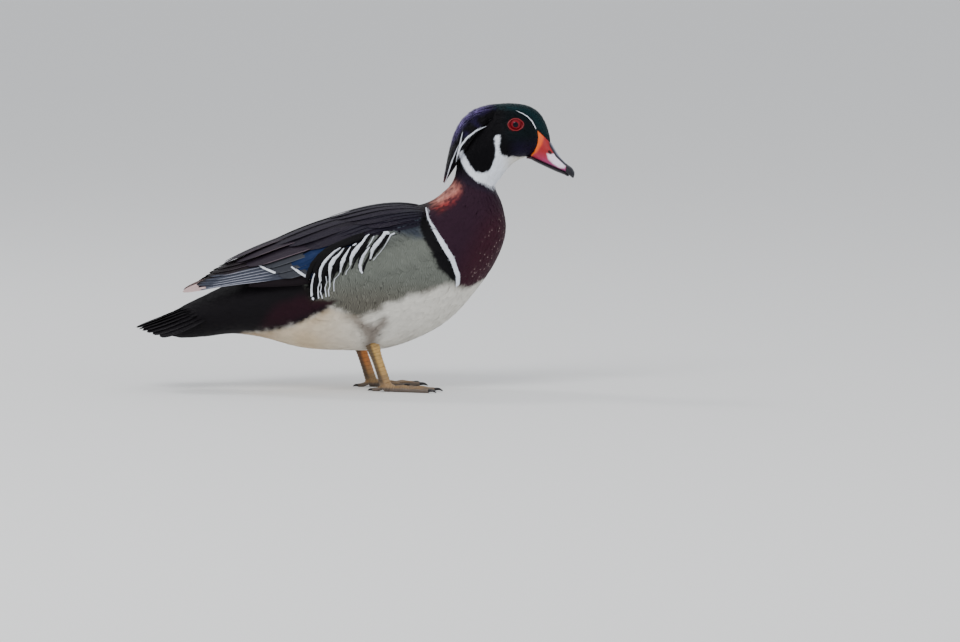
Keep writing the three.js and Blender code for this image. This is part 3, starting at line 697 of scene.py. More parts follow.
# Marks of the right side as the side view shows them, from slightly above: (x, height)
THROAT = [
    (122.7, 223.1), (128, 223.1), (127.9, 217.4), (127, 211.9), (128, 208.1), (130.1, 205.7),
    (134.6, 203.9), (143.8, 204), (153.9, 205), (156.1, 201.5), (145.6, 198), (138.5, 194.5),
    (133.2, 189.2), (128.8, 182.2), (125.3, 176.9), (120.2, 176.4), (113, 179.1), (106.8, 182.3),
    (101.6, 186.7), (96.9, 192.2), (93.6, 198), (91.5, 203.9), (91.2, 207.7), (94.2, 209.3),
    (96, 207.4), (98.9, 201.5), (102.3, 195.8), (106.8, 190.3), (113, 189.9), (118.4, 192.2),
    (121.1, 198.4), (122.9, 203.9), (123.2, 210.3), (122.5, 216.5),
]
FORECROWN = [
    (160.5, 229), (156, 235.8), (151.5, 240), (145, 243.8), (134, 246), (122, 247), (118, 262),
    (176, 262), (176, 214),
]
BROW = [(158.4, 229.6), (155.4, 235.2), (151.8, 238.9), (147.4, 241.7), (143, 243.6)]
EYE_LINE = [
    (113.5, 229.8), (110.6, 228.6), (106, 226.2), (98.9, 220.4), (94.2, 214.7), (92.4, 211.2),
    (90.6, 205.9),
]
CREST_LINES = [
    [(94.2, 222.6), (92.3, 213.8), (89.7, 202.9)],
    [(90.1, 211.2), (85.7, 200.6), (81.8, 189.2), (79.6, 183)],
]
SIDE_BAR = [
    (62.7, 158.8), (64.4, 150.2), (72, 136), (79.6, 123.3), (85.4, 114), (90.5, 99.7), (90.5, 91.5),
]
BLACK_BAR = [
    (61.5, 161), (64.4, 150.2), (72, 136), (79.6, 123.3), (85.4, 114), (90.5, 99.7), (90.5, 91.5),
    (86.2, 95.5), (73.7, 106.5), (67.8, 119.9), (59.3, 135.1), (56.7, 147),
]
FLANK = [
    (61.1, 150.5), (58.4, 138.2), (67.8, 119.9), (73.7, 106.5), (86.2, 95), (90.1, 90.6), (72.2, 87.1),
    (51.4, 81), (30.8, 73), (18, 66), (5.6, 59.8), (-11.1, 64.2), (-21.6, 68.6), (-14.9, 78.3),
    (-36.6, 79.2), (-42.8, 92.4), (-40.1, 103), (-24, 118), (-6, 128), (12, 137), (30.3, 146),
]
BARRED_ZONE = [
    (-41.9, 97.6), (-39.7, 103.5), (-36.4, 109.3), (-32, 113.7), (-25.5, 118.8), (-18.9, 122.4),
    (-11.6, 126.1), (-1.4, 129.7), (5.9, 132.3), (11, 135.7), (16.1, 135.7), (11, 126.8), (4.4, 118.8),
    (-1.4, 110), (-5.8, 111.5), (-10.1, 102.7), (-16, 102), (-21.1, 95.4), (-24.7, 93.2), (-25.5, 84.5),
    (-30.6, 79.4), (-35.7, 77.6), (-39.3, 81.6), (-41.2, 90.3),
]
SHOULDER = [
    (27.6, 143.4), (31.2, 150), (47, 152.6), (61.1, 154.4), (58.4, 138.2), (60.2, 132.9),
    (52.3, 132.9), (40, 136.4),
]
BELLY = [
    (-100.8, 48.4), (-90.3, 49.3), (-73, 50.5), (-54.4, 54.6), (-39.9, 60.9), (-21.1, 70.8),
    (-10.7, 67.1), (5.8, 63), (18.3, 69.3), (30.8, 75.4), (51.4, 83.8), (72.2, 90), (89.9, 92),
    (101.4, 90), (109.6, 95.2), (128, 104.7), (128, 78.3), (92.8, 34.3), (40, 15), (-48, 15),
    (-100.8, 38.7),
]
BREAST = [
    (62.7, 166.3), (64.4, 150.2), (72, 136), (79.6, 123.3), (85.4, 114), (90.5, 99.7), (90.5, 91.5),
    (101.4, 90), (109.6, 95.2), (128, 104.7), (154.4, 131.1), (154.4, 166.3), (123.6, 181.3),
    (101.6, 191), (75.2, 191), (61.1, 175.1),
]
NAPE = [
    (64, 162), (68, 170), (75.2, 178), (81.3, 184), (87, 185), (92, 183),
    (95, 178.3), (92, 170.4), (84, 161), (76, 156), (68, 156),
]
RUMP_SIDE = [
    (-81.5, 51.9), (-56.8, 56.3), (-41, 63.4), (-21.6, 72.2), (-14.6, 78.3), (-37.5, 80.1),
    (-48, 81.8), (-65.6, 74.8), (-78.8, 64.2),
]
# Where painted shade lies round the top of the leg, a V over the feathered upper leg and the belly
THIGH_SHADE = [
    (-10.2, 63.4), (-2.3, 59), (6, 51.9), (8.5, 44.9), (8.5, 37), (19, 37), (22, 45.5), (25, 51),
    (29.4, 59), (25.9, 64.2), (18.8, 57.2), (11.8, 56.3), (1.2, 62.5),
]
VIEW_RISE = math.radians(4.5)  # how far above the level the side view looks down


def seen(points: Array) -> Array:
    """Where the side view shows points of either side: x and height."""
    height = points[:, 2] * math.cos(VIEW_RISE) - np.abs(points[:, 1]) * math.sin(VIEW_RISE)
    return np.stack([points[:, 0], height], axis=1)


def line_distance(places: Array, line: Sequence[tuple[float, float]]) -> tuple[Array, Array]:
    """How far places lie from an open line.

    Args:
        places: The places, two numbers each.
        line: The line's points.

    Returns:
        The distances, and how far along the line the nearest point is, from 0 to 1.
    """
    nodes = np.array(line, float)
    best = np.full(len(places), 1e9)
    along = np.zeros(len(places))
    for i, (start, end) in enumerate(zip(nodes[:-1], nodes[1:])):
        step = end - start
        share = np.clip((places - start) @ step / (step @ step), 0, 1)
        gap = np.linalg.norm(places - start - share[:, None] * step, axis=1)
        closer = gap < best
        best = np.where(closer, gap, best)
        along = np.where(closer, (i + share) / (len(nodes) - 1), along)
    return best, along


def depth_inside(places: Array, outline: Sequence[tuple[float, float]]) -> Array:
    """How far places lie inside a closed outline, negative outside it.

    Args:
        places: The places, two numbers each.
        outline: The outline's points.

    Returns:
        The depths.
    """
    nodes = np.array(outline, float)
    distance, _ = line_distance(places, [*outline, outline[0]])
    crossings = np.zeros(len(places), bool)
    for start, end in zip(nodes, np.roll(nodes, -1, axis=0)):
        spans = (start[1] > places[:, 1]) != (end[1] > places[:, 1])
        rise = end[1] - start[1] if end[1] != start[1] else 1e-9
        x = start[0] + (places[:, 1] - start[1]) * (end[0] - start[0]) / rise
        crossings ^= spans & (places[:, 0] < x)
    return np.where(crossings, distance, -distance)


def ripple(points: Array, size: float) -> Array:
    """Smooth unevenness from -1 to 1 over bumps of a size in millimetres.

    Args:
        points: Points, in millimetres.
        size: The size of a bump.

    Returns:
        One number for each point.
    """
    x, y, z = (points / size).T
    first = np.sin(x * 2.1 + 1.7 * np.sin(z * 1.3 + y))
    second = np.sin(z * 2.7 + 1.3 * np.sin(y * 1.9 - x))
    return 0.5 * (first + second)


class Painter:
    """Gives the plumage's markings at any point of the bird."""

    def __init__(self, points: Array, vane: Array | None = None) -> None:
        """Starts from bare black plumage.

        Args:
            points: Points, in millimetres.
            vane: Each point's share along and across its feather, and the feather's own number.
        """
        self.points = points
        self.vane = np.zeros((len(points), 3)) if vane is None else vane
        self.exact = seen(points)
        self.places = self.exact + 0.5 * self.vane[:, 2:3]
        self.colours = np.tile(np.array(TINTS.black), (len(points), 1))
        self.finish = np.zeros((len(points), 3))

    def lay(self, colour: tuple, mask: Array, gloss: float | None = None, lines: float = 0) -> None:
        """Lays a colour over a mask.

        Args:
            colour: The colour, linear.
            mask: How much of it, from 0 to 1.
            gloss: The feathers' gloss there, or None to keep what is there.
            lines: How strongly fine dark lines cross the feathers there.
        """
        share = mask[:, None]
        self.colours += (np.array(colour) - self.colours) * share
        if gloss is not None:
            self.finish[:, 0] += (gloss - self.finish[:, 0]) * mask
        self.finish[:, 1] += (lines - self.finish[:, 1]) * mask

    def area(self, outline: Sequence[tuple[float, float]], soft: float, ragged: float = 0) -> Array:
        """A mask of an outline in the side view, with soft and ragged edges in millimetres.

        Args:
            outline: The outline's points.
            soft: Half the width of its soft edge.
            ragged: How far its edge wanders.

        Returns:
            The mask, from 0 to 1.
        """
        depth = depth_inside(self.places, outline)
        if ragged:
            depth = depth + ragged * (0.3 * ripple(self.points, 2.2) + 0.7 * ripple(self.points, 8))
        return ramp(depth, -soft, soft)

    def stripe(self, line: Sequence[tuple[float, float]], widths: tuple[float, float, float]) -> Array:
        """A mask of a line in the side view with its half width at the start, middle and end.

        Args:
            line: The line's points.
            widths: Its half widths.

        Returns:
            The mask, from 0 to 1.
        """
        distance, along = line_distance(self.exact, line)
        half = np.interp(along, [0, 0.5, 1], widths)
        return 1 - ramp(distance, half - 0.25, half + 0.25)

    def body(self) -> None:
        """Lays the markings of the trunk, with painted shade round the top of the leg and painted rim light on the
        nape.
        """
        x, y, z = self.points.T
        everywhere = np.ones(len(x))
        self.lay(TINTS.rump, everywhere, 0.25)
        self.lay(TINTS.brown, ramp(z - np.abs(y) * 0.3, 95, 118), 0.35)
        self.lay(TINTS.wine, self.area(RUMP_SIDE, 5, 2) * 0.8, 0.3)
        warm = ramp(ripple(self.points, 14), -0.4, 0.9)
        low = ramp(self.places[:, 1] + 0.3 * x, 128, 84)
        self.lay(TINTS.buff, self.area(FLANK, 2, 1.5), 0, 0.4)
        self.finish[:, 1] += 0.6 * low * self.area(FLANK, 6)
        self.lay(TINTS.dusk, self.area(FLANK, 6) * ramp(self.places[:, 1], 100, 72) * 0.4, 0, 1)
        high = ramp(self.places[:, 1] - 0.25 * x, 112, 140)
        self.lay(TINTS.slate, self.area(FLANK, 6) * high * 0.45, 0.1, 0.3)
        self.lay(TINTS.slate, self.area(SHOULDER, 3.5, 1), 0.1, 0.3)
        self.lay(TINTS.black, self.area(BARRED_ZONE, 0.7), 0.2)
        self.lay(TINTS.belly, self.area(BELLY, 3.6, 3), 0)
        rear = self.area(BELLY, 2) * ramp(x, 25, -45)
        self.lay(TINTS.sand, rear * (0.7 + 0.15 * warm), 0)
        self.lay(TINTS.vent, self.area(BELLY, 2) * ramp(x, -58, -94) * 0.6, 0)
        edge = self.area(BELLY, 2) * ramp(depth_inside(self.places, BELLY), 11, 0)
        self.lay(TINTS.dusk, edge * warm * 0.35 * ramp(x, -60, -20), 0, 0.5)
        # Painted shade: brown round the top of the leg where it meets the belly, partly the feathered upper leg's
        # own brown
        self.lay(TINTS.thigh_shade, 0.75 * self.area(THIGH_SHADE, 4, 1.5) * ramp(np.abs(y), 10, 22), 0)
        self.lay(TINTS.black, self.area(BLACK_BAR, 1, 0.6), 0.3)
        self.lay(TINTS.plum, self.area(BREAST, 1, 0.8), 0.35)
        front = ramp(x + (150 - z) * 0.5, 100, 128)
        self.lay(TINTS.maroon, self.area(BREAST, 1) * (0.35 + 0.5 * front * ramp(z, 175, 140)), 0.3)
        back = ramp(z - 0.25 * (62 - x), 158, 166) * ramp(x, 40, 60)
        self.lay(TINTS.brown, back * self.area(BREAST, 4) * ramp(x, 84, 74), 0.3)
        self.nape()
        self.lay(TINTS.white, self.stripe(SIDE_BAR, (0.2, 1.2, 0.9)), 0)
        number = np.modf(np.abs(self.vane[:, 2]) * 97)[0]
        spots = (number < 0.3) * ramp(self.vane[:, 0], 0.87, 0.9) * (np.abs(self.vane[:, 1]) < 0.26)
        low = ramp(x + (150 - z) * 0.6, 118, 130) * ramp(z, 166, 152) * ramp(np.abs(y), 36, 24)
        self.lay(TINTS.spot, spots * low * self.area(BREAST, 1) * 0.75, 0)

    def nape(self) -> None:
        """Lays the russet patch under the hood, streaked with dark: the neck's maroon brightened by painted rim
        light, with a pinkish painted highlight near the midline.
        """
        streaks = 0.4 + 0.3 * ripple(self.points, 1.6) + 0.3 * self.vane[:, 2]
        centre = np.hypot(self.places[:, 0] - 83, self.places[:, 1] - 168)
        patch = self.area(NAPE, 4, 2) * np.clip(streaks + 0.1, 0.05, 0.9) * ramp(centre, 24, 6)
        self.lay(TINTS.russet, patch, 0.1)
        # Painted highlight: pinkish where the rim light falls nearest the midline
        self.lay(TINTS.salmon_highlight, patch * ramp(np.abs(self.points[:, 1]), 24, 12) * 0.8, 0.1)

    def head(self) -> None:
        """Lays the markings of the head and the upper neck, and painted rim light along the crest's ridge."""
        x, y, z = self.points.T
        everywhere = np.ones(len(x))
        self.lay(TINTS.black, everywhere, 0.75)
        self.lay(TINTS.green, self.area(FORECROWN, 2.5, 1.5) * 0.95, 0.9)
        self.lay(TINTS.green, ramp(x, 124, 146) * ramp(z, 212, 228) * 0.22, 0.85)
        self.lay(TINTS.purple, ramp(x, 132, 146) * ramp(z, 226, 210) * 0.22, 0.8)
        # Painted rim light along the crest's upper rear ridge: the purple there is partly the plumage's own
        # iridescence and partly painted sheen, the pale violet layer is a painted sheen and the near-white layer a
        # painted highlight
        ridge = ramp(x, 128, 112) * ramp(z - 0.9 * (x - 96), 222, 232)
        self.lay(TINTS.purple, ridge * ramp(np.abs(y), 17, 10), 0.95)
        self.lay(TINTS.lilac_rim_sheen, ridge * ramp(np.abs(y), 15, 7) * (0.35 + 0.3 * ripple(self.points, 3)), 1)
        self.lay(TINTS.frost_rim_highlight, ridge * ramp(np.abs(y), 6, 1.5) * (0.4 + 0.25 * ripple(self.points, 2)), 0.6)
        self.lay(TINTS.plum, ramp(z - 0.35 * (120 - x), 190, 172), 0.4)
        self.nape()
        throat = ramp(depth_inside(self.exact, THROAT) + 0.2 * ripple(self.points, 2.2), 0.1, 0.7)
        self.lay(TINTS.white, throat, 0)
        self.lay(TINTS.cream, throat * ramp(x, 126, 146) * 0.8, 0)
        self.lay(TINTS.white, self.stripe(EYE_LINE, (0, 0.5, 0.4)), 0.1)
        socket = np.hypot((x - EYE_CENTRE[0]) / 7, (z - EYE_CENTRE[2]) / 5.6)
        self.lay(TINTS.lid, ramp(socket, 1.02, 0.94) * ramp(x, 128, 130), 0.1)

    def crest(self) -> None:
        """Lays the markings of the hood behind the head, with the head's painted rim light on its ridge."""
        x, y, z = self.points.T
        self.head()
        self.lay(TINTS.purple, ramp(ripple(self.points, 5), 0.1, 0.9) * 0.3 * ramp(z, 200, 225), 0.95)
        for line in CREST_LINES:
            self.lay(TINTS.white, self.stripe(line, (0, 0.3, 0)), 0.1)


def write_colours(item: bpy.types.Object, colours: Array) -> None:
    """Writes colours, one for each vertex, on an object's mesh."""
    shown = item.data.color_attributes.new("plumage", "FLOAT_COLOR", "POINT")
    values = np.ones((len(item.data.vertices), 4), np.float32)
    values[:, :3] = np.clip(colours, 0, 1)
    shown.data.foreach_set("color", values.ravel())


def write_plumage(item: bpy.types.Object, painter: Painter) -> None:
    """Writes a painter's colours and finish on an object's mesh."""
    write_colours(item, painter.colours)
    finish = item.data.attributes.new("finish", "FLOAT_VECTOR", "POINT")
    finish.data.foreach_set("vector", painter.finish.astype(np.float32).ravel())


def points_of(item: bpy.types.Object) -> Array:
    """The vertices of an object, in millimetres."""
    places = np.empty(len(item.data.vertices) * 3, np.float32)
    item.data.vertices.foreach_get("co", places)
    return places.reshape(-1, 3).astype(float) / MM


def vane_of(item: bpy.types.Object) -> Array:
    """Each vertex's share along and across its feather, and the feather's own number."""
    values = np.empty(len(item.data.vertices) * 3, np.float32)
    item.data.attributes["vane"].data.foreach_get("vector", values)
    return values.reshape(-1, 3).astype(float)


@dataclass
class Plumes:
    """Feathers of one kind, each from a root over a middle to a tip, in millimetres."""

    root: Array
    middle: Array
    tip: Array
    face_root: Array
    face_tip: Array
    girth: Array
    cup: Array
    patch: Array

    @classmethod
    def laid(
        cls,
        surface: Surface,
        starts: Array,
        ends: Array,
        girth: Array,
        lift: tuple[Any, Any, Any],
        cup: float = 0.12,
        patch: Array | None = None,
    ) -> "Plumes":
        """Lays feathers on a surface.

        Args:
            surface: What they lie on.
            starts: The surface's two shares at each root.
            ends: The surface's two shares at each tip.
            girth: Half widths.
            lift: Heights of root, middle and tip above the surface.
            cup: How far the edges droop, for each half width.
            patch: Each feather's place on the bake map, or None to take it from starts.

        Returns:
            The feathers.
        """
        pairs = (starts, (starts + ends) / 2, ends)
        faces = [surface.facing(pair[:, 0], pair[:, 1]) for pair in pairs]
        heights = [np.broadcast_to(height, len(starts))[:, None] for height in lift]
        root, halfway, tip = (
            surface.place(pair[:, 0], pair[:, 1]) + face * height
            for pair, face, height in zip(pairs, faces, heights)
        )
        girths = np.broadcast_to(girth, len(starts)).astype(float)
        if patch is None:
            patch = np.stack([starts[:, 0], np.mod(starts[:, 1] / (2 * math.pi) + 0.5, 1)], axis=1)
        return cls(
            root,
            2 * halfway - (root + tip) / 2,
            tip,
            faces[0],
            faces[2],
            girths,
            np.full_like(girths, cup),
            on_map(patch),
        )

    @classmethod
    def joined(cls, groups: Sequence["Plumes"]) -> "Plumes":
        """Joins groups of feathers into one."""
        return cls(*(np.concatenate(values) for values in zip(*(vars(group).values() for group in groups))))


class Plumage:
    """Makes pieces of feathers from root points by the plume tree."""

    def __init__(self) -> None:
        """Builds the tree."""
        self.plume_tree = PlumeTree()

    def grow(
        self,
        name: str,
        plumes: Plumes,
        form: FeatherForm,
        thickness: float,
        finish: bpy.types.Material,
        patch: float = 0.0028,
        tilt: float = 0.12,
    ) -> bpy.types.Object:
        """Grows one piece.

        Args:
            name: The piece's name.
            plumes: Its feathers.
            form: The mesh of each.
            thickness: Their thickness in millimetres.
            finish: Their material.
            patch: The size of each feather's patch on the bake map.
            tilt: How far a feather may tip to either side.

        Returns:
            The piece, as one plain mesh.
        """
        feather = form.build(f"{name}_feather")
        roots = bpy.data.meshes.new(f"{name}_roots")
        roots.from_pydata((plumes.root * MM).tolist(), [], [])
        vectors = {
            "middle_at": plumes.middle * MM,
            "tip_at": plumes.tip * MM,
            "face_root": plumes.face_root,
            "face_tip": plumes.face_tip,
            "patch_at": np.pad(plumes.patch, ((0, 0), (0, 1))),
        }
        for key, values in vectors.items():
            made = roots.attributes.new(key, "FLOAT_VECTOR", "POINT")
            made.data.foreach_set("vector", values.astype(np.float32).ravel())
        numbers = {"girth": plumes.girth * MM, "cup": plumes.cup}
        for key, values in numbers.items():
            made = roots.attributes.new(key, "FLOAT", "POINT")
            made.data.foreach_set("value", values.astype(np.float32))
        item = bpy.data.objects.new(name, roots)
        bpy.context.scene.collection.objects.link(item)
        modifier = item.modifiers.new("plumes", "NODES")
        modifier.node_group = self.plume_tree.tree
        settings = {
            "Feather": feather,
            "Thickness": thickness * MM,
            "Patch": patch,
            "Tilt": tilt,
            "Seed": SEED,
            "Finish": finish,
        }
        for key, value in settings.items():
            modifier[self.plume_tree.keys[key]] = value
        evaluated = item.evaluated_get(bpy.context.evaluated_depsgraph_get())
        mesh = bpy.data.meshes.new_from_object(evaluated)
        mesh.name = name
        item.modifiers.remove(modifier)
        item.data = mesh
        for key in (*vectors, *numbers, "root_at", "tilt"):
            found = mesh.attributes.get(key)
            if found:
                mesh.attributes.remove(found)
        bpy.data.objects.remove(feather)
        log.info("%s: %d feathers, %d faces", name, len(plumes.root), len(mesh.polygons))
        return item


def scattered(
    skin: RibSkin,
    spacing: float,
    reach: tuple[float, float],
    allowed: Callable[[Array, Array], Array],
    seed: int,
) -> Array:
    """Spreads root points evenly but not in rows over a skin.

    Args:
        skin: The skin.
        spacing: The least distance between two roots, in millimetres.
        reach: The first and last share of the skin's length.
        allowed: Says from points and shares which may be used.
        seed: The seed of the draw.

    Returns:
        The roots' two shares.
    """
    draw = np.random.default_rng(seed)
    first, second = np.meshgrid(np.linspace(*reach, 40), np.linspace(-math.pi, math.pi, 40))
    along, turn = skin.slopes(first.ravel(), second.ravel())
    density = np.linalg.norm(np.cross(along, turn), axis=1)
    area = density.mean() * (reach[1] - reach[0]) * 2 * math.pi
    wanted = int(area / spacing**2 * 5 * density.max() / density.mean())
    shares = np.stack([draw.uniform(*reach, wanted), draw.uniform(-math.pi, math.pi, wanted)], axis=1)
    along, turn = skin.slopes(shares[:, 0], shares[:, 1])
    size = np.linalg.norm(np.cross(along, turn), axis=1)
    shares = shares[draw.uniform(0, density.max(), wanted) < size]
    points = skin.place(shares[:, 0], shares[:, 1])
    kept = allowed(points, shares)
    shares, points = shares[kept], points[kept]
    cells: dict[tuple[int, int, int], list[Array]] = {}
    chosen = []
    around = [(i, j, k) for i in (-1, 0, 1) for j in (-1, 0, 1) for k in (-1, 0, 1)]
    for index, point in enumerate(points):
        x, y, z = (int(v) for v in point // spacing)
        near = (cells.get((x + i, y + j, z + k), ()) for i, j, k in around)
        if any(math.dist(point, other) < spacing for group in near for other in group):
            continue
        cells.setdefault((x, y, z), []).append(point)
        chosen.append(index)
    return shares[chosen]


def reach_back(skin: RibSkin, starts: Array, lengths: Array, sweep: Array | float = 0) -> Array:
    """Where feathers of given lengths end when they lie back along a skin.

    Args:
        skin: The skin.
        starts: The roots' two shares.
        lengths: The feathers' lengths, in millimetres.
        sweep: How far they turn from the skin's own length towards rising angles, in radians.

    Returns:
        The tips' two shares.
    """
    along, turn = skin.slopes(starts[:, 0], starts[:, 1])
    away = unit(turn - along * (np.sum(turn * along, 1) / np.sum(along * along, 1))[:, None])
    heading = -np.cos(sweep)[..., None] * unit(along) + np.sin(sweep)[..., None] * away
    want = heading * np.broadcast_to(lengths, len(starts))[:, None]
    aa = np.sum(along * along, 1)
    at = np.sum(along * turn, 1)
    tt = np.sum(turn * turn, 1)
    wa = np.sum(want * along, 1)
    wt = np.sum(want * turn, 1)
    fall = np.maximum(aa * tt - at * at, 1e-6)
    step = np.stack([(wa * tt - wt * at) / fall, (wt * aa - wa * at) / fall], axis=1)
    return np.stack([np.clip(starts[:, 0] + step[:, 0], 0.004, 0.996), starts[:, 1] + step[:, 1]], axis=1)


def on_map(places: Array) -> Array:
    """Draws shares of a bake map in from its edges."""
    return places * MAP_SHARE + MAP_MARGIN


def meshed(name: str, points: Array, faces: Sequence[tuple[int, ...]], spots: Array) -> bpy.types.Object:
    """Makes a smooth closed mesh with its faces turned outwards, and links it to the scene.

    Args:
        name: The object's name.
        points: Its points, in millimetres.
        faces: The numbers of each face's points.
        spots: Where each corner of each face lies on the bake map.

    Returns:
        The object.
    """
    mesh = bpy.data.meshes.new(name)
    mesh.from_pydata((points * MM).tolist(), [], faces)
    places = mesh.uv_layers.new(name="OFBake")
    places.data.foreach_set("uv", spots.astype(np.float32).ravel())
    mesh.polygons.foreach_set("use_smooth", [True] * len(mesh.polygons))
    item = bpy.data.objects.new(name, mesh)
    made = bmesh.new()
    made.from_mesh(mesh)
    bmesh.ops.recalc_face_normals(made, faces=made.faces)
    made.to_mesh(mesh)
    made.free()
    mesh.update()
    bpy.context.scene.collection.objects.link(item)
    return item


def loft(
    name: str,
    place: Callable[[Array, Array], Array],
    rows: int,
    around: int,
) -> bpy.types.Object:
    """Makes a closed form from a function of a share and an angle.

    Args:
        name: The object's name.
        place: Gives points in millimetres for shares and angles.
        rows: How many rings it has.
        around: How many points each ring has.

    Returns:
        The object, with an unwrap of its own shape.
    """
    closing = 0.5 - 0.5 * np.cos(np.linspace(0, math.pi, rows + 1))
    shares = 0.5 * closing + 0.5 * np.linspace(0, 1, rows + 1)
    angles = np.linspace(-math.pi, math.pi, around, endpoint=False)
    grid = place(*np.meshgrid(shares[1:-1], angles, indexing="ij")).reshape(-1, 3)
    ends = [place(np.array([share]), np.zeros(1)).reshape(1, 3) for share in (shares[0], shares[-1])]
    points = np.vstack([grid, *ends])
    low, high = len(grid), len(grid) + 1
    faces = []
    spots = []
    inner = rows - 1
    for i in range(inner - 1):
        for j in range(around):
            k = (j + 1) % around
            faces.append((i * around + j, i * around + k, (i + 1) * around + k, (i + 1) * around + j))
            spots.append([(i, j), (i, j + 1), (i + 1, j + 1), (i + 1, j)])
    for j in range(around):
        k = (j + 1) % around
        faces.append((low, k, j))
        spots.append([(-1, j), (0, j + 1), (0, j)])
        last = (inner - 1) * around
        faces.append((high, last + j, last + k))
        spots.append([(inner, j), (inner - 1, j), (inner - 1, j + 1)])
    flat = [((i + 1) / rows, j / around) for corners in spots for i, j in corners]
    return meshed(name, points, faces, on_map(np.array(flat)))


def dress(item: bpy.types.Object, finish: bpy.types.Material, slot: str, *nodes: str) -> None:
    """Gives a piece its material and body, and hides the nodes that it stands for.

    Args:
        item: The piece.
        finish: Its material, where it has none yet.
        slot: Not used.
        *nodes: The nodes that it replaces.
    """
    if not item.data.materials:
        item.data.materials.append(finish)
    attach(item, BODY)
    if nodes:
        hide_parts(*nodes)
    log.info("%s: %d faces", item.name, len(item.data.polygons))


@dataclass(frozen=True)
class FeatherFinish:
    """A plumage material: its sheen, gloss and the size of its barbs."""

    name: str
    roughness: float = 0.66
    metallic: float = 0.5
    sheen: float = 0.0
    barbs: float = 60
    relief: float = 0.35

    def build(self, detail: bpy.types.NodeTree) -> bpy.types.Material:
        """Makes the material.

        Args:
            detail: The node group of barbs, shaft and fine lines.

        Returns:
            The material.
        """
        made, draw = blank_material(self.name)
        group = draw.add(
            "ShaderNodeGroup",
            {
                "Colour": draw.read("plumage", "Color"),
                "Finish": draw.read("finish"),
                "Vane": draw.read("vane"),
                "Barbs": self.barbs,
                "Roughness": self.roughness,
                "Metallic": self.metallic,
            },
            node_tree=detail,
        ).outputs
        bump = draw.add(
            "ShaderNodeBump", {"Strength": self.relief, "Distance": 0.0002, "Height": group["Height"]}
        )
        draw.principled(
            {
                "Base Color": group["Colour"],
                "Roughness": group["Roughness"],
                "Metallic": group["Metallic"],
                "Normal": bump.outputs[0],
                "Specular IOR Level": 0.12,
                "Sheen Weight": self.sheen,
                "Sheen Roughness": 0.4,
            }
        )
        return made


def feather_detail() -> bpy.types.NodeTree:
    """Builds the node group of barbs, shaft and fine dark lines that all plumage shares."""
    gloss = {"Roughness": "Float", "Metallic": "Float"}
    draw = open_group(
        "feather_detail",
        {"Colour": "Color", "Finish": "Vector", "Vane": "Vector", "Barbs": "Float", **gloss},
        {"Colour": "Color", **gloss, "Height": "Float"},
    )
    given = draw.add("NodeGroupInput").outputs
    share, side, number = draw.add("ShaderNodeSeparateXYZ", {0: given["Vane"]}).outputs
    gloss, lines, _ = draw.add("ShaderNodeSeparateXYZ", {0: given["Finish"]}).outputs
    wide = draw.math("ABSOLUTE", side)
    slant = draw.plus(share, draw.times(wide, -0.35))
    barb = draw.math("SINE", draw.times(draw.times(slant, given["Barbs"]), 6.2832))
    object_place = draw.add("ShaderNodeTexCoord").outputs["Object"]
    mottle = draw.noise(object_place, 220.0, 3.0)
    shaft = draw.minus(1.0, draw.times(wide, 18.0), clamp=True)
    bars = draw.add(
        "ShaderNodeTexWave",
        {"Vector": object_place, "Scale": 220.0, "Distortion": 16.0, "Detail": 1.0, "Detail Scale": 0.9},
        bands_direction="X",
    ).outputs["Fac"]
    ridge = draw.times(draw.minus(bars, 0.45), 4.0, clamp=True)
    dark = draw.times(ridge, draw.times(lines, 0.5))
    shade = draw.plus(0.9, draw.times(mottle, 0.2))
    shade = draw.plus(shade, draw.times(barb, 0.05))
    shade = draw.plus(shade, draw.times(number, 0.05))
    shade = draw.times(shade, draw.minus(1.0, dark))
    tinted = draw.vector("SCALE", given["Colour"], shade)
    height = draw.plus(draw.times(barb, 0.5), shaft)
    rough = draw.minus(given["Roughness"], draw.times(gloss, 0.2))
    rough = draw.plus(rough, draw.times(draw.minus(mottle, 0.5), 0.15))
    metal = draw.times(gloss, given["Metallic"])
    draw.add("NodeGroupOutput", {"Colour": tinted, "Roughness": rough, "Metallic": metal, "Height": height})
    return draw.tree


# The line where the bill leaves the feathers in the side view, from the chin to the forehead's tip
BILL_EDGE = [
    (150.2, 204.2), (154.4, 205.4), (157.8, 209), (160.6, 216.4), (161.2, 222.6), (159.8, 229.6),
    (172, 217.6), (176, 224), (210, 224), (210, 180), (150.2, 180),
]
EYE_CENTRE = (141.2, 10.6, 234)
EYE_RADIUS = 6.2
# How the coat changes along the trunk's ribs, from the tail at 0 to the bill at 25
COAT_RIBS = [0, 3, 7, 10, 12, 14, 16, 20, 23, 25]
COAT_LENGTHS = [17, 18, 16, 13, 10, 8, 6, 4.8, 3, 2]
COAT_WIDTHS = [3.4, 3.5, 3.2, 2.5, 1.9, 1.3, 1, 0.8, 0.55, 0.45]
COAT_DEPTHS = [1.1, 1.2, 1.2, 1.1, 1, 0.9, 0.8, 0.7, 0.5, 0.4]


def thigh_bulge(points: Array) -> Array:
    """How far the feathered thighs swell out of the belly, in millimetres."""
    distance = np.hypot((points[:, 0] - 12) / 26, (points[:, 2] - 52) / 22)
    return 3.2 * ramp(distance, 1, 0.2) * ramp(np.abs(points[:, 1]), 16, 34)


class Sided:
    """A sub-assembly of one side, 1 for the left and -1 for the right."""

    side: int

    @property
    def word(self) -> str:
        """The side's name."""
        return "left" if self.side > 0 else "right"


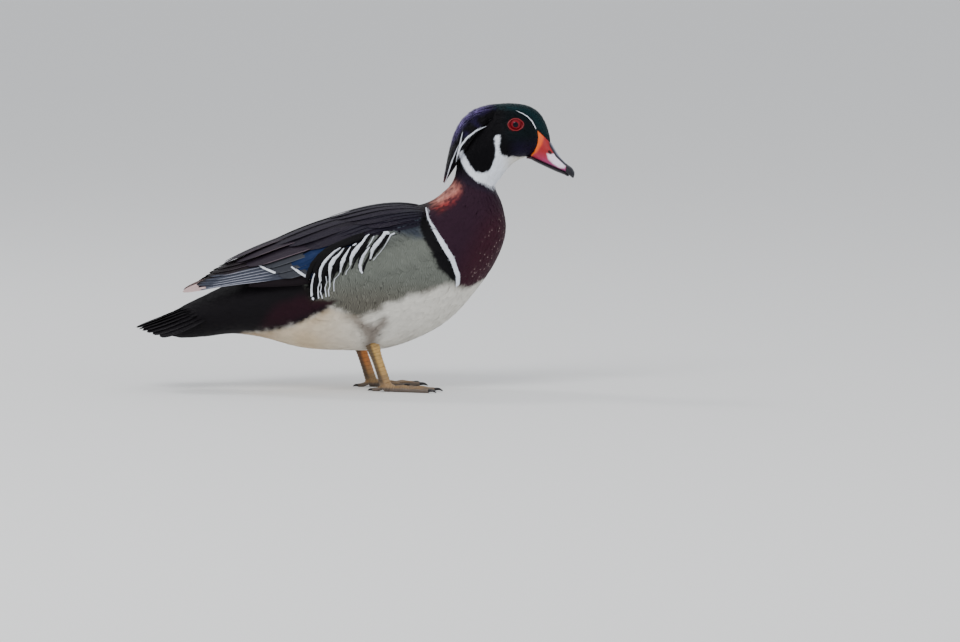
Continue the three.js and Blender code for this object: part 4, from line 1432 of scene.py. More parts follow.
@dataclass
class Coat:
    """The skin of the trunk, neck and head, and the small feathers that cover it."""

    plumage: Plumage
    finishes: dict[str, bpy.types.Material]
    rows: int = 260
    around: int = 128
    head_spacing: float = 1.15
    neck_spacing: float = 2.1
    body_spacing: float = 3.1

    def _skin_place(self, share: Array, angle: Array) -> Array:
        """The skin's points: under the coat, and sunk under the eyes.

        Args:
            share: Shares of the trunk's length.
            angle: Angles round it.

        Returns:
            The points.
        """
        depth = np.interp(share * TRUNK.count, COAT_RIBS, COAT_DEPTHS)
        points = TRUNK.place(share, angle, -depth)
        flat = points.reshape(-1, 3)
        flat = flat + TRUNK.facing(share.ravel(), angle.ravel()) * thigh_bulge(flat)[:, None]
        flat[:, 1] *= 1 - 0.5 * ramp(depth_inside(flat[:, [0, 2]], BILL_EDGE), -0.3, 2)
        for side in (-1, 1):
            centre = np.array(EYE_CENTRE) * (1, side, 1)
            away = flat - centre
            near = np.hypot(away[:, 0], away[:, 2])
            inside = (near < EYE_RADIUS * 0.8) & (flat[:, 1] * side > 0)
            flat[inside, 1] -= side * 3.0 * ramp(near[inside], EYE_RADIUS * 0.8, EYE_RADIUS * 0.5)
        return flat.reshape(points.shape)

    def skin(self) -> None:
        """Makes the one skin that stands for every node of flesh."""
        item = loft("skin", self._skin_place, self.rows, self.around)
        self._paint(item)
        dress(item, self.finishes["down"], "body_plumage", "torso", "neck", "head", "tail")

    def _paint(self, item: bpy.types.Object, vane: Array | None = None) -> None:
        """Writes the body's markings and, up the neck, the head's.

        Args:
            item: The skin or a zone of the coat.
            vane: The vane of each vertex, or None for the skin.
        """
        points = points_of(item)
        painter, head = Painter(points, vane), Painter(points, vane)
        painter.body()
        head.head()
        share = ramp(points[:, 2] + 0.35 * (points[:, 0] - 105), 176, 181)[:, None]
        painter.colours += (head.colours - painter.colours) * share
        painter.finish += (head.finish - painter.finish) * share
        write_plumage(item, painter)

    def _lay(self, shares: Array, draw: np.random.Generator) -> Plumes:
        """Lays small feathers back from their roots, sized by where they grow.

        Args:
            shares: The roots' two shares.
            draw: The seeded draw.

        Returns:
            The feathers.
        """
        rib = shares[:, 0] * TRUNK.count
        uneven = draw.uniform(0.88, 1.12, len(shares))
        lengths = np.interp(rib, COAT_RIBS, COAT_LENGTHS) * uneven
        girths = np.interp(rib, COAT_RIBS, COAT_WIDTHS) * draw.uniform(0.9, 1.1, len(shares))
        depth = np.interp(rib, COAT_RIBS, COAT_DEPTHS)
        sweep = draw.normal(0, 0.07, len(shares))
        ends = reach_back(TRUNK, shares, lengths, sweep)
        points = TRUNK.place(shares[:, 0], shares[:, 1])
        bulge = thigh_bulge(points)
        tips = thigh_bulge(TRUNK.place(ends[:, 0], ends[:, 1]))
        high = draw.uniform(-0.1, 0.1, len(shares))
        lift = (-depth * 0.9 + bulge, -depth * 0.35 + (bulge + tips) / 2, high - 0.1 + tips)
        cup = np.interp(rib, [0, 12, 16, 25], [0.05, 0.06, 0.08, 0.08])
        return Plumes.laid(TRUNK, shares, ends, girths, lift, cup=cup)

    def _clear(self, points: Array, shares: Array) -> Array:
        """Says which roots lie clear of the bill, the eyes and the folded wings.

        Args:
            points: The roots, in millimetres.
            shares: Their two shares.

        Returns:
            True where a feather may grow.
        """
        side = points[:, [0, 2]]
        clear = depth_inside(side, BILL_EDGE) < -0.4
        eye = np.hypot((side[:, 0] - EYE_CENTRE[0]) / 7.6, (side[:, 1] - EYE_CENTRE[2]) / 6.2) > 1
        hood = [rib.back for rib in CREST_RIBS[1:]] + [rib.belly for rib in CREST_RIBS[:0:-1]]
        hooded = depth_inside(side, hood) > 3
        wing = [(x, z) for x, _, z in WING_TOP[1:]] + [(x, z) for x, _, z in WING_LOW[:0:-1]]
        winged = depth_inside(side, wing) > np.interp(points[:, 0], [0, 40], [6, 3])
        return clear & eye & ~hooded & ~winged

    def zone(
        self,
        name: str,
        form: FeatherForm,
        spacing: float,
        ribs: tuple[float, float],
        slot: str,
        finish: str,
    ) -> None:
        """Makes the coat between two ribs.

        Args:
            name: The piece's name.
            form: The mesh of each feather.
            spacing: The least distance between roots.
            ribs: The first and last rib.
            slot: The record's slot.
            finish: The finish's name.
        """
        reach = (ribs[0] / TRUNK.count, ribs[1] / TRUNK.count)
        shares = scattered(TRUNK, spacing, reach, self._clear, SEED)
        plumes = self._lay(shares, np.random.default_rng(SEED))
        thickness = 0.08 + 0.025 * spacing
        item = self.plumage.grow(name, plumes, form, thickness, self.finishes[finish], tilt=0.05)
        self._paint(item, vane_of(item))
        dress(item, self.finishes[finish], slot)

    def build(self) -> None:
        """Makes the skin and every zone of the coat."""
        self.skin()
        small = FeatherForm(FeatherShape.CONTOUR, 3, 2)
        middle = FeatherForm(FeatherShape.CONTOUR, 4, 2)
        large = FeatherForm(FeatherShape.CONTOUR, 5, 2, 1)
        self.zone("head_coat", small, self.head_spacing, (14.1, 24.9), "head_plumage", "gloss")
        self.zone("neck_coat", middle, self.neck_spacing, (9.8, 14.1), "breast_plumage", "contour")
        self.zone("body_coat", large, self.body_spacing, (0.4, 9.8), "body_plumage", "contour")


class SideMap:
    """The outermost side of some forms, read by x and height."""

    def __init__(
        self,
        side: int,
        clouds: Sequence[tuple[Array, float]],
        low: tuple[float, float],
        high: tuple[float, float],
        step: float,
    ) -> None:
        """Samples the forms into a smooth map of half widths.

        Args:
            side: 1 for the left side and -1 for the right.
            clouds: Points of each form's left side, and how far the map lies above them.
            low: The map's least x and height.
            high: The map's greatest x and height.
            step: The size of its cells.
        """
        self.side = side
        self.low = np.array(low)
        self.step = step
        size = ((np.array(high) - self.low) / step).astype(int) + 1
        self.out = np.zeros(size)
        for points, lift in clouds:
            cells = ((points[:, [0, 2]] - self.low) / step).round().astype(int)
            inside = np.all((cells >= 0) & (cells < size), axis=1)
            np.maximum.at(self.out, tuple(cells[inside].T), points[inside, 1] + lift)
        for passes, fill in ((5, True), (3, False)):
            for _ in range(passes):
                padded = np.pad(self.out, 1, mode="edge")
                shifted = [padded[i : i + size[0], j : j + size[1]] for i in range(3) for j in range(3)]
                smooth = np.mean(shifted, axis=0)
                self.out = np.maximum(self.out, smooth) if fill else smooth

    def reach(self, first: Array, second: Array) -> Array:
        """The half width at a place of the side view.

        Args:
            first: Each place's x.
            second: Each place's height.

        Returns:
            The half widths.
        """
        place = (np.stack([first, second], -1) - self.low) / self.step
        place = np.clip(place, 0, np.array(self.out.shape) - 1.001)
        cell = place.astype(int)
        share = place - cell
        x, z = cell[..., 0], cell[..., 1]
        u, v = share[..., 0], share[..., 1]
        below = self.out[x, z] * (1 - u) + self.out[x + 1, z] * u
        above = self.out[x, z + 1] * (1 - u) + self.out[x + 1, z + 1] * u
        return below * (1 - v) + above * v

    def shown(self, places: Array) -> Array:
        """Turns places of the side view, seen from slightly above, into x and height.

        Args:
            places: The places, as the side view shows them.

        Returns:
            The x and height of each on this side.
        """
        level = places[:, 1] / math.cos(VIEW_RISE)
        height = level
        for _ in range(3):
            height = level + self.reach(places[:, 0], height) * math.tan(VIEW_RISE)
        return np.stack([places[:, 0], height], axis=1)

    def place(self, first: Array, second: Array) -> Array:
        """Points of the side."""
        return np.stack([first, self.side * self.reach(first, second), second], -1)

    def facing(self, first: Array, second: Array) -> Array:
        """The way the side faces, outwards.

        Args:
            first: Each place's x.
            second: Each place's height.

        Returns:
            Unit vectors.
        """
        step = self.step * 1.5
        across = (self.reach(first + step, second) - self.reach(first - step, second)) / (2 * step)
        upward = (self.reach(first, second + step) - self.reach(first, second - step)) / (2 * step)
        return unit(np.stack([-across, self.side * np.ones_like(across), -upward], -1))


def cloud(place: Callable[[Array, Array], Array], first: tuple, second: tuple, count: int) -> Array:
    """Samples a surface densely.

    Args:
        place: Gives its points.
        first: The least and greatest first share.
        second: The least and greatest second share.
        count: How many steps each way.

    Returns:
        The points.
    """
    pair = np.meshgrid(np.linspace(*first, count), np.linspace(*second, count), indexing="ij")
    return place(*pair).reshape(-1, 3)


def flank_map(side: int) -> SideMap:
    """The side of the trunk with the folded wing on it."""
    trunk = cloud(TRUNK.place, (0.05, 0.6), (0.1, 3), 420)
    wing = cloud(WingSurface(1).place, (0, 0.95), (0.1, 1), 400)
    return SideMap(side, ((trunk, 0.3), (wing, 2.9)), (-100, 30), (110, 170), 2)


def wing_map(side: int) -> SideMap:
    """The side of the folded wing over its secondaries."""
    wing = cloud(WingSurface(1).place, (0, 1), (0.1, 1), 500)
    return SideMap(side, ((wing, 1.6),), (-150, 70), (60, 165), 1)


def head_map(side: int) -> SideMap:
    """The side of the head with the hood on it."""
    head = cloud(TRUNK.place, (0.5, 0.99), (0.1, 3), 500)
    hood = cloud(CREST.place, (0.02, 0.98), (0.05, 3.1), 400)
    return SideMap(side, ((head, 0.0), (hood, 0.4)), (66, 150), (180, 256), 0.7)


class TailSurface:
    """The fan of the tail, read by the share of its length and from side to side."""

    ROOT = (-112.0, 84.0)
    TIP = (-193.0, 54.3)
    HALF = (8.0, 25.0)
    DROOP = 14.0
    SHORTEN = 0.27

    def place(self, first: Array, second: Array) -> Array:
        """Points of the fan."""
        reach = first * (1 - self.SHORTEN * second**2)
        x = self.ROOT[0] + (self.TIP[0] - self.ROOT[0]) * reach
        y = second * (self.HALF[0] + (self.HALF[1] - self.HALF[0]) * first)
        z = self.ROOT[1] + (self.TIP[1] - self.ROOT[1]) * reach
        return np.stack([x, y, z - self.DROOP * second**2 * (0.5 + 0.5 * first)], -1)

    def facing(self, first: Array, second: Array) -> Array:
        """The way the fan faces, upwards, each half tilted so that its feathers tile."""
        lean = 0.75 * second - 0.2 * np.sign(second)
        return unit(np.stack([np.full_like(lean, 0.25), lean, np.ones_like(lean)], -1))


@dataclass(frozen=True)
class VaneFinish:
    """A flight feather's material: colours of its web, outer web, band, tip and edge."""

    name: str
    web: tuple
    outer: tuple
    band: tuple = TINTS.black
    tip: tuple = TINTS.black
    edge: tuple = TINTS.black
    band_start: float = 2
    tip_start: float = 2
    outer_start: float = 0.1
    edge_start: float = 2
    roughness: float = 0.58
    metallic: float = 0.0
    barbs: float = 90

    def build(self, marks: bpy.types.NodeTree) -> bpy.types.Material:
        """Makes the material.

        Args:
            marks: The node group of a vane's marks.

        Returns:
            The material.
        """
        made, draw = blank_material(self.name)
        colours = {
            "Web": self.web,
            "Outer Web": self.outer,
            "Band": self.band,
            "Tip": self.tip,
            "Edge": self.edge,
        }
        inputs: dict[str, Any] = {key: (*value, 1) for key, value in colours.items()}
        inputs |= {
            "Vane": draw.read("vane"),
            "Band Start": self.band_start,
            "Tip Start": self.tip_start,
            "Outer Start": self.outer_start,
            "Edge Start": self.edge_start,
            "Barbs": self.barbs,
            "Roughness": self.roughness,
        }
        group = draw.add("ShaderNodeGroup", inputs, node_tree=marks).outputs
        bump = draw.add("ShaderNodeBump", {"Strength": 0.45, "Distance": 0.0003, "Height": group["Height"]})
        draw.principled(
            {
                "Base Color": group["Colour"],
                "Roughness": group["Roughness"],
                "Metallic": self.metallic,
                "Normal": bump.outputs[0],
                "Specular IOR Level": 0.12,
            }
        )
        return made


def vane_marks() -> bpy.types.NodeTree:
    """Builds the node group that marks a long feather by its own length and width."""
    colours = ("Web", "Outer Web", "Band", "Tip", "Edge")
    numbers = ("Band Start", "Tip Start", "Outer Start", "Edge Start", "Barbs", "Roughness")
    draw = open_group(
        "vane_marks",
        {"Vane": "Vector", **dict.fromkeys(colours, "Color"), **dict.fromkeys(numbers, "Float")},
        {"Colour": "Color", "Roughness": "Float", "Height": "Float"},
    )
    given = draw.add("NodeGroupInput").outputs
    share, side, number = draw.add("ShaderNodeSeparateXYZ", {0: given["Vane"]}).outputs
    object_place = draw.add("ShaderNodeTexCoord").outputs["Object"]
    noise = draw.noise(object_place, 260.0, 3.0)
    uneven = draw.times(draw.minus(noise, 0.5), 0.04)
    wide = draw.math("ABSOLUTE", side)
    curved = draw.plus(draw.plus(share, uneven), draw.times(wide, 0.03))
    other = draw.times(side, -1.0)
    outer = draw.past(other, given["Outer Start"], 0.3)
    colour = draw.mix(outer, given["Web"], given["Outer Web"])
    colour = draw.mix(draw.past(curved, given["Band Start"], 0.02), colour, given["Band"])
    colour = draw.mix(draw.past(curved, given["Tip Start"], 0.012), colour, given["Tip"])
    rim = draw.past(draw.plus(other, uneven), given["Edge Start"], 0.05)
    colour = draw.mix(rim, colour, given["Edge"])
    slant = draw.plus(share, draw.times(wide, -0.12))
    barb = draw.math("SINE", draw.times(draw.times(slant, given["Barbs"]), 6.2832))
    shaft = draw.minus(1.0, draw.times(wide, 22.0), clamp=True)
    shade = draw.plus(0.86, draw.times(noise, 0.28))
    shade = draw.plus(shade, draw.times(barb, 0.04))
    shade = draw.plus(shade, draw.times(number, 0.08))
    shade = draw.minus(shade, draw.times(shaft, 0.25))
    height = draw.plus(draw.times(barb, 0.4), shaft)
    rough = draw.plus(given["Roughness"], draw.times(draw.minus(noise, 0.5), 0.2))
    tinted = draw.vector("SCALE", colour, shade)
    draw.add("NodeGroupOutput", {"Colour": tinted, "Roughness": rough, "Height": height})
    return draw.tree


TILE_RISE = 0.38  # how much higher a wing feather's edge lies than its neighbour's
ATLAS_CELLS = 14  # in each direction, for the large feathers of one bake map
ATLAS_PATCH = 0.9 / ATLAS_CELLS  # the length of a large feather on its bake map


def atlas(first: int, count: int) -> Array:
    """The middles of numbered cells of a bake map."""
    numbers = np.arange(first, first + count)
    return np.stack([(numbers % ATLAS_CELLS + 0.5), (numbers // ATLAS_CELLS + 0.5)], 1) / ATLAS_CELLS


@dataclass(frozen=True)
class Tier:
    """A row of wing feathers, from its first by the flank to its last by the back.

    Roots and tips are shares of the wing's length and girth.
    """

    name: str
    count: int
    roots: tuple[tuple[float, float], tuple[float, float]]
    tips: tuple[tuple[float, float], tuple[float, float]]
    half: float
    rise: tuple[float, float]
    finish: str
    shape: FeatherShape = FeatherShape.QUILL

    def plumes(self, surface: WingSurface, first_patch: int) -> Plumes:
        """Lays the row on a wing.

        Args:
            surface: The wing's surface.
            first_patch: The number of the row's first patch on the bake map.

        Returns:
            The feathers.
        """
        share = np.linspace(0, 1, self.count)[:, None]
        draw = np.random.default_rng(SEED + self.count)
        starts = np.array(self.roots[0]) * (1 - share) + np.array(self.roots[1]) * share
        ends = np.array(self.tips[0]) * (1 - share) + np.array(self.tips[1]) * share
        ends = ends + draw.normal(0, 0.004, ends.shape)
        rise = self.rise[0] + (self.rise[1] - self.rise[0]) * share[:, 0]
        laid = Plumes.laid(
            surface, starts, ends, self.half, (-1.6, rise * 0.8, rise), 0.06, atlas(first_patch, self.count)
        )
        spread = np.linalg.norm(surface.place(*starts[0]) - surface.place(*starts[-1])) / (self.count - 1)
        for faces, pair in ((laid.face_root, starts), (laid.face_tip, ends)):
            lower = surface.place(pair[:, 0], pair[:, 1] + 0.05)
            upper = surface.place(pair[:, 0], pair[:, 1] - 0.05)
            faces -= unit(lower - upper) * TILE_RISE / spread
        return laid


TIERS = [
    Tier(
        "outer_primaries", 2, ((0.42, 0.94), (0.412, 0.88)), ((1, 0.72), (0.968, 0.667)), 4.8, (0, 0.1),
        "pale_primary",
    ),
    Tier(
        "primaries", 4, ((0.404, 0.82), (0.38, 0.64)), ((0.935, 0.615), (0.87, 0.46)), 4.8, (0.2, 0.5),
        "primary",
    ),
    Tier(
        "inner_primaries", 4, ((0.38, 0.62), (0.36, 0.36)), ((0.88, 0.4), (0.8, 0.14)), 6, (0.5, 0.9),
        "dark_primary",
    ),
    Tier(
        "secondaries", 6, ((0.2, 0.9), (0.26, 0.6)), ((0.45, 0.93), (0.515, 0.72)), 5, (0.9, 1.2), "speculum",
        FeatherShape.BLUNT,
    ),
    Tier(
        "inner_secondaries", 4, ((0.28, 0.8), (0.3, 0.5)), ((0.555, 0.84), (0.64, 0.5)), 6, (0.7, 1.3), "inner",
        FeatherShape.BLUNT,
    ),
    Tier(
        "tertials", 3, ((0.3, 0.5), (0.24, 0.08)), ((0.68, 0.46), (0.8, 0.12)), 10.5, (1.5, 1.8),
        "long_tertial",
    ),
    Tier(
        "greater_coverts", 6, ((0.05, 0.82), (0.12, 0.46)), ((0.26, 0.8), (0.4, 0.5)), 6.5, (1.3, 1.6),
        "covert",
    ),
    Tier(
        "median_coverts", 6, ((0.02, 0.78), (0.02, 0.38)), ((0.18, 0.76), (0.3, 0.42)), 7, (1.6, 1.9),
        "covert",
    ),
    Tier(
        "scapulars", 4, ((0.08, 0.56), (0.1, 0.1)), ((0.46, 0.56), (0.6, 0.12)), 10.5, (1.9, 2.2),
        "tertial",
    ),
    Tier(
        "upper_scapulars", 5, ((0.03, 0.6), (0.04, 0.1)), ((0.26, 0.6), (0.38, 0.1)), 9.5, (2.2, 2.5),
        "tertial",
    ),
]


@dataclass
class Wing(Sided):
    """One folded wing: a thin core and tiers of flight feathers and coverts over it."""

    plumage: Plumage
    finishes: dict[str, bpy.types.Material]
    side: int
    core_end: float = 0.68
    core_depth: tuple[float, float] = (5, 1.2)
    thickness: float = 0.35

    def core(self) -> bpy.types.Object:
        """Makes the closed core that backs the feathers."""
        surface = WingSurface(self.side)

        def place(first: Array, second: Array, layer: int) -> Array:
            """Points of the core's outer and inner face."""
            share = first * self.core_end
            low, high = self.core_depth
            depth = 0.8 if layer else low + (high - low) * first
            inwards = surface.facing(share, second) * np.broadcast_to(depth, first.shape)[..., None]
            return surface.place(share, second) - inwards

        return slab(f"wing_core_{self.word}", place, 40, 20)

    def build(self) -> None:
        """Makes the wing."""
        surface = WingSurface(self.side)
        core = self.core()
        painter = Painter(points_of(core))
        painter.lay(TINTS.brown, np.ones(len(painter.points)), 0.2)
        write_plumage(core, painter)
        dress(core, self.finishes["down"], "wing_plumage", f"wing_{self.word}")
        patch = 0
        for tier in TIERS:
            form = FeatherForm(tier.shape, 14, 6, 1.6)
            plumes = tier.plumes(surface, patch)
            patch += tier.count
            item = self.plumage.grow(
                f"{tier.name}_{self.word}", plumes, form, self.thickness, self.finishes[tier.finish],
                patch=ATLAS_PATCH, tilt=0.03,
            )
            if self.side < 0:
                flip_vane(item)
            dress(item, self.finishes[tier.finish], "wing_plumage")


def flip_vane(item: bpy.types.Object) -> None:
    """Turns the sense of across on a right wing's feathers, so that both wings are marked alike."""
    values = vane_of(item)
    values[:, 1] *= -1
    item.data.attributes["vane"].data.foreach_set("vector", values.astype(np.float32).ravel())


def slab(
    name: str, place: Callable[[Array, Array, int], Array], rows: int, columns: int
) -> bpy.types.Object:
    """Makes a closed plate from a function of two shares and a layer.

    Args:
        name: The object's name.
        place: Gives points in millimetres; layer 1 is the outer face.
        rows: Steps along it.
        columns: Steps across it.

    Returns:
        The object, with both faces side by side on its bake map.
    """
    first, second = np.meshgrid(np.linspace(0, 1, rows + 1), np.linspace(0, 1, columns + 1), indexing="ij")
    points = np.vstack([place(first, second, layer).reshape(-1, 3) for layer in (0, 1)])
    wide = columns + 1
    layer_size = (rows + 1) * wide
    faces = []
    for layer in (0, 1):
        for i in range(rows):
            for j in range(columns):
                a = layer * layer_size + i * wide + j
                corners = (a, a + wide, a + wide + 1, a + 1)
                faces.append(corners if layer else corners[::-1])
    rim = [(i, 0) for i in range(rows)] + [(rows, j) for j in range(columns)]
    rim += [(i, columns) for i in range(rows, 0, -1)] + [(0, j) for j in range(columns, 0, -1)]
    for (i, j), (k, m) in zip(rim, rim[1:] + rim[:1]):
        a, b = i * wide + j, k * wide + m
        faces.append((a, b, b + layer_size, a + layer_size))
    flat = np.stack([first.ravel(), second.ravel()], 1) * (MAP_SHARE - 0.5, MAP_SHARE)
    both = np.vstack([flat + MAP_MARGIN, flat + (0.5 + MAP_MARGIN, MAP_MARGIN)])
    return meshed(name, points, faces, both[np.array(faces).ravel()])


@dataclass
class Tail:
    """The tail's fan and the coverts over its roots."""

    plumage: Plumage
    finishes: dict[str, bpy.types.Material]
    pairs: int = 7
    half: float = 8.2
    # Share of the tail's length at the roots and tips of each row of coverts, and their number
    covert_rows: tuple = ((0.3, 0.74, 11), (0.16, 0.6, 10), (0.02, 0.44, 9))

    def build(self) -> None:
        """Makes the tail."""
        surface = TailSurface()
        form = FeatherForm(FeatherShape.BROAD, 14, 6, 1.6)
        across = (np.arange(self.pairs) + 0.4) / (self.pairs - 0.6)
        across = np.concatenate([-across[::-1], across])
        starts = np.stack([np.zeros_like(across), across], 1)
        ends = np.stack([np.ones_like(across), across], 1)
        fan = Plumes.laid(surface, starts, ends, self.half, (0, 0, 0), 0.05, atlas(0, len(across)))
        finish = self.finishes["tail"]
        item = self.plumage.grow("tail_feathers", fan, form, 0.35, finish, ATLAS_PATCH, 0.02)
        dress(item, finish, "tail_plumage")
        rows = []
        patches = 0
        for row, (root, tip, count) in enumerate(self.covert_rows):
            across = np.linspace(-0.85, 0.85, count)
            starts = np.stack([np.full(count, root), across * 0.9], 1)
            ends = np.stack([tip - 0.1 * across**2, across], 1)
            lift = (1.2 + row, 1.8 + row, 1.4 + row)
            rows.append(Plumes.laid(surface, starts, ends, 5.6, lift, 0.1, atlas(patches, count)))
            patches += count
        coverts = self.plumage.grow("tail_coverts", Plumes.joined(rows), form, 0.3, finish, ATLAS_PATCH, 0.05)
        dress(coverts, finish, "tail_plumage")


@dataclass
class Crest:
    """The hood of long loose feathers that hangs over the nape."""

    plumage: Plumage
    finishes: dict[str, bpy.types.Material]
    spacing: float = 1.5
    sink: float = 1.3

    def build(self) -> None:
        """Makes the hood's core and its locks."""
        core = loft("crest_core", lambda share, angle: CREST.place(share, angle, -self.sink), 70, 48)
        painter = Painter(points_of(core))
        painter.crest()
        write_plumage(core, painter)
        dress(core, self.finishes["down"], "crest_plumage", "crest")
        shares = scattered(
            CREST, self.spacing, (0.004, 0.93), lambda points, _: np.ones(len(points), bool), SEED
        )
        draw = np.random.default_rng(SEED)
        rest = 1 - shares[:, 0]
        lengths = np.interp(shares[:, 0], [0, 0.2, 0.5, 1], [9, 17, 24, 12])
        lengths = lengths * draw.uniform(0.8, 1.15, len(shares))
        ends = reach_back(CREST, shares, -lengths, draw.normal(0, 0.05, len(shares)))
        girths = np.interp(rest, [0, 0.5, 1], [0.55, 0.85, 0.9]) * draw.uniform(0.85, 1.15, len(shares))
        top = draw.uniform(0, 0.5, len(shares))
        sink = self.sink * ramp(shares[:, 0], -0.04, 0.12)
        plumes = Plumes.laid(CREST, shares, ends, girths, (-sink, -0.1 - 0.2 * sink, top), 0.1)
        form = FeatherForm(FeatherShape.LOCK, 6, 2)
        item = self.plumage.grow("crest_coat", plumes, form, 0.22, self.finishes["gloss"])
        painter = Painter(points_of(item), vane_of(item))
        painter.crest()
        write_plumage(item, painter)
        dress(item, self.finishes["gloss"], "crest_plumage")


# Where the flank's feathers end over the wing, in the side view
FLANK_EDGE = [(60, 151), (47, 146.5), (30.8, 137.5), (10, 132), (-17, 118), (-38, 96), (-42, 84)]


def along_line(line: Sequence[tuple[float, float]], places: Array) -> tuple[Array, Array]:
    """Reads a broken line.

    Args:
        line: Its points.
        places: Shares of its length.

    Returns:
        The points there and the way the line runs.
    """
    nodes = np.array(line, float)
    steps = np.linalg.norm(np.diff(nodes, axis=0), axis=1)
    reach = np.concatenate([[0], np.cumsum(steps)]) / steps.sum()
    points = np.stack([np.interp(places, reach, nodes[:, k]) for k in (0, 1)], axis=1)
    ahead = np.stack([np.interp(np.minimum(places + 0.02, 1), reach, nodes[:, k]) for k in (0, 1)], axis=1)
    behind = np.stack([np.interp(np.maximum(places - 0.02, 0), reach, nodes[:, k]) for k in (0, 1)], axis=1)
    return points, unit(ahead - behind)


@dataclass
class FlankPlumes(Sided):
    """The broad feathers of one flank that lap over the wing's lower edge."""

    plumage: Plumage
    finishes: dict[str, bpy.types.Material]
    side: int
    rows: int = 7
    count: int = 46
    row_step: float = 4.2
    length: float = 18

    def _laid(self, surface: SideMap) -> Plumes:
        """Lays the rows.

        Args:
            surface: The side that they lie on.

        Returns:
            The feathers of all rows.
        """
        draw = np.random.default_rng(SEED)
        groups = []
        for row in range(self.rows):
            count = self.count
            even = (np.arange(count) + 0.5 * (row % 2)) / count
            share = np.clip(even + draw.normal(0, 0.004, count), 0, 1)
            edge, _ = along_line(FLANK_EDGE, share)
            below = row * self.row_step + draw.normal(0, 0.5, count)[:, None]
            ends = edge + np.array([0.3, -0.95]) * below
            turn = np.interp(share, [0, 0.3, 0.8, 1], [0.55, 0.6, 0.25, 0.0])
            length = self.length * draw.uniform(0.9, 1.1, count)
            starts = ends + np.stack([np.cos(turn), -np.sin(turn)], 1) * length[:, None]
            lift = (-2, 0.15 + 0.05 * row, 0.25 + 0.05 * row)
            patch = np.clip((ends - (-50, 50)) / 125, 0.02, 0.98)
            roots, tips = surface.shown(starts), surface.shown(ends)
            groups.append(Plumes.laid(surface, roots, tips, 2.5, lift, 0.05, patch))
        return Plumes.joined(groups)

    def build(self) -> None:
        """Makes the feathers."""
        form = FeatherForm(FeatherShape.BROAD, 8, 4, 1.1)
        plumes = self._laid(flank_map(self.side))
        finish = self.finishes["contour"]
        cover = self.plumage.grow(f"flank_cover_{self.word}", plumes, form, 0.15, finish, 0.003, 0.03)
        painter = Painter(points_of(cover), vane_of(cover))
        painter.body()
        write_plumage(cover, painter)
        dress(cover, finish, "body_plumage")


class Streak(NamedTuple):
    """A crisp line of one colour: its points in the side view, half widths, and how it is feathered."""

    line: Sequence[tuple[float, float]]
    widths: tuple[float, float, float]
    length: float
    girth: float
    across: float  # how far the feathers turn from the line's own way, in radians
    spacing: float


def bar(line: Sequence[tuple[float, float]], widths: tuple[float, float, float]) -> Streak:
    """A bar across the ends of the flank's long feathers."""
    return Streak(line, widths, 5, 0.7, 0.9, 0.24)


WING_STREAKS = [
    Streak([(-39.8, 96.4), (-42.5, 99), (-47, 101.8), (-54.5, 107)], (0.7, 0.95, 0.5), 3, 0.8, 0.9, 0.3),
    Streak([(-69.3, 101.8), (-79, 106), (-90, 113)], (0.7, 0.85, 0.35), 3, 0.8, 0.9, 0.3),
]
BODY_STREAKS = [Streak(SIDE_BAR, (0.5, 1.9, 1.5), 5.5, 0.8, 0.9, 0.3)]
BLACK_BARS = [
    Streak(
        [
            (-41, 96.5), (-38.5, 103.5), (-35, 109.8), (-29.7, 115.5), (-23.8, 120), (-17.2, 124), (-11, 127),
            (-1, 131.5), (8, 135),
        ],
        (1.4, 2.4, 1.2), 8, 0.9, 0.9, 0.24,
    ),
    bar(
        [(-10.2, 122.8), (-16, 117), (-21.1, 111.9), (-24.8, 106.7), (-26.6, 100.9), (-26.6, 94.4)],
        (0.6, 1.5, 1.2),
    ),
    bar([(-33, 103), (-33.3, 100.9), (-33.6, 93.6), (-34, 82.6)], (1.6, 1.6, 1.4)),
    bar(
        [(-10, 125.3), (-20.4, 120.2), (-28.4, 112.9), (-33.5, 104.9), (-34.5, 99)],
        (0.8, 1.7, 1.5),
    ),
    bar([(-12, 124.5), (-6.5, 126.8), (-1.4, 129.2), (5.9, 131.8), (10, 133.5)], (0.9, 1.5, 1)),
    bar([(29.5, 134.5), (25.6, 129), (21, 122.5), (16.8, 116.6), (14.6, 113)], (1.3, 1.8, 0.9)),
    bar([(13.8, 120.2), (12.4, 115.1), (10.7, 110.8), (8.8, 105.6), (7.4, 101.3)], (0.6, 1.9, 0.5)),
    bar(
        [(15, 134.8), (11.7, 129.7), (8.1, 124.6), (4.4, 118.8), (1.5, 113.7), (-2, 105.6)],
        (1.2, 1.9, 0.5),
    ),
    bar(
        [(0, 126.1), (-3.2, 121), (-5.4, 115.1), (-6.5, 110.8), (-8.3, 105.6), (-10.1, 100.2)],
        (0.8, 1.6, 0.5),
    ),
    bar(
        [(-6.5, 123.9), (-10.1, 117.3), (-13.8, 111.5), (-15.2, 106.4), (-17.1, 101.3), (-20, 94)],
        (0.8, 1.7, 0.5),
    ),
    bar([(12.8, 127.2), (8.8, 122.4), (5.5, 117.3), (4.3, 112.2), (4.4, 106)], (0.5, 1, 0.6)),
    bar([(24.3, 137), (20.5, 131.2), (16.1, 126.1), (13.2, 122.4)], (0.5, 0.9, 0.5)),
]
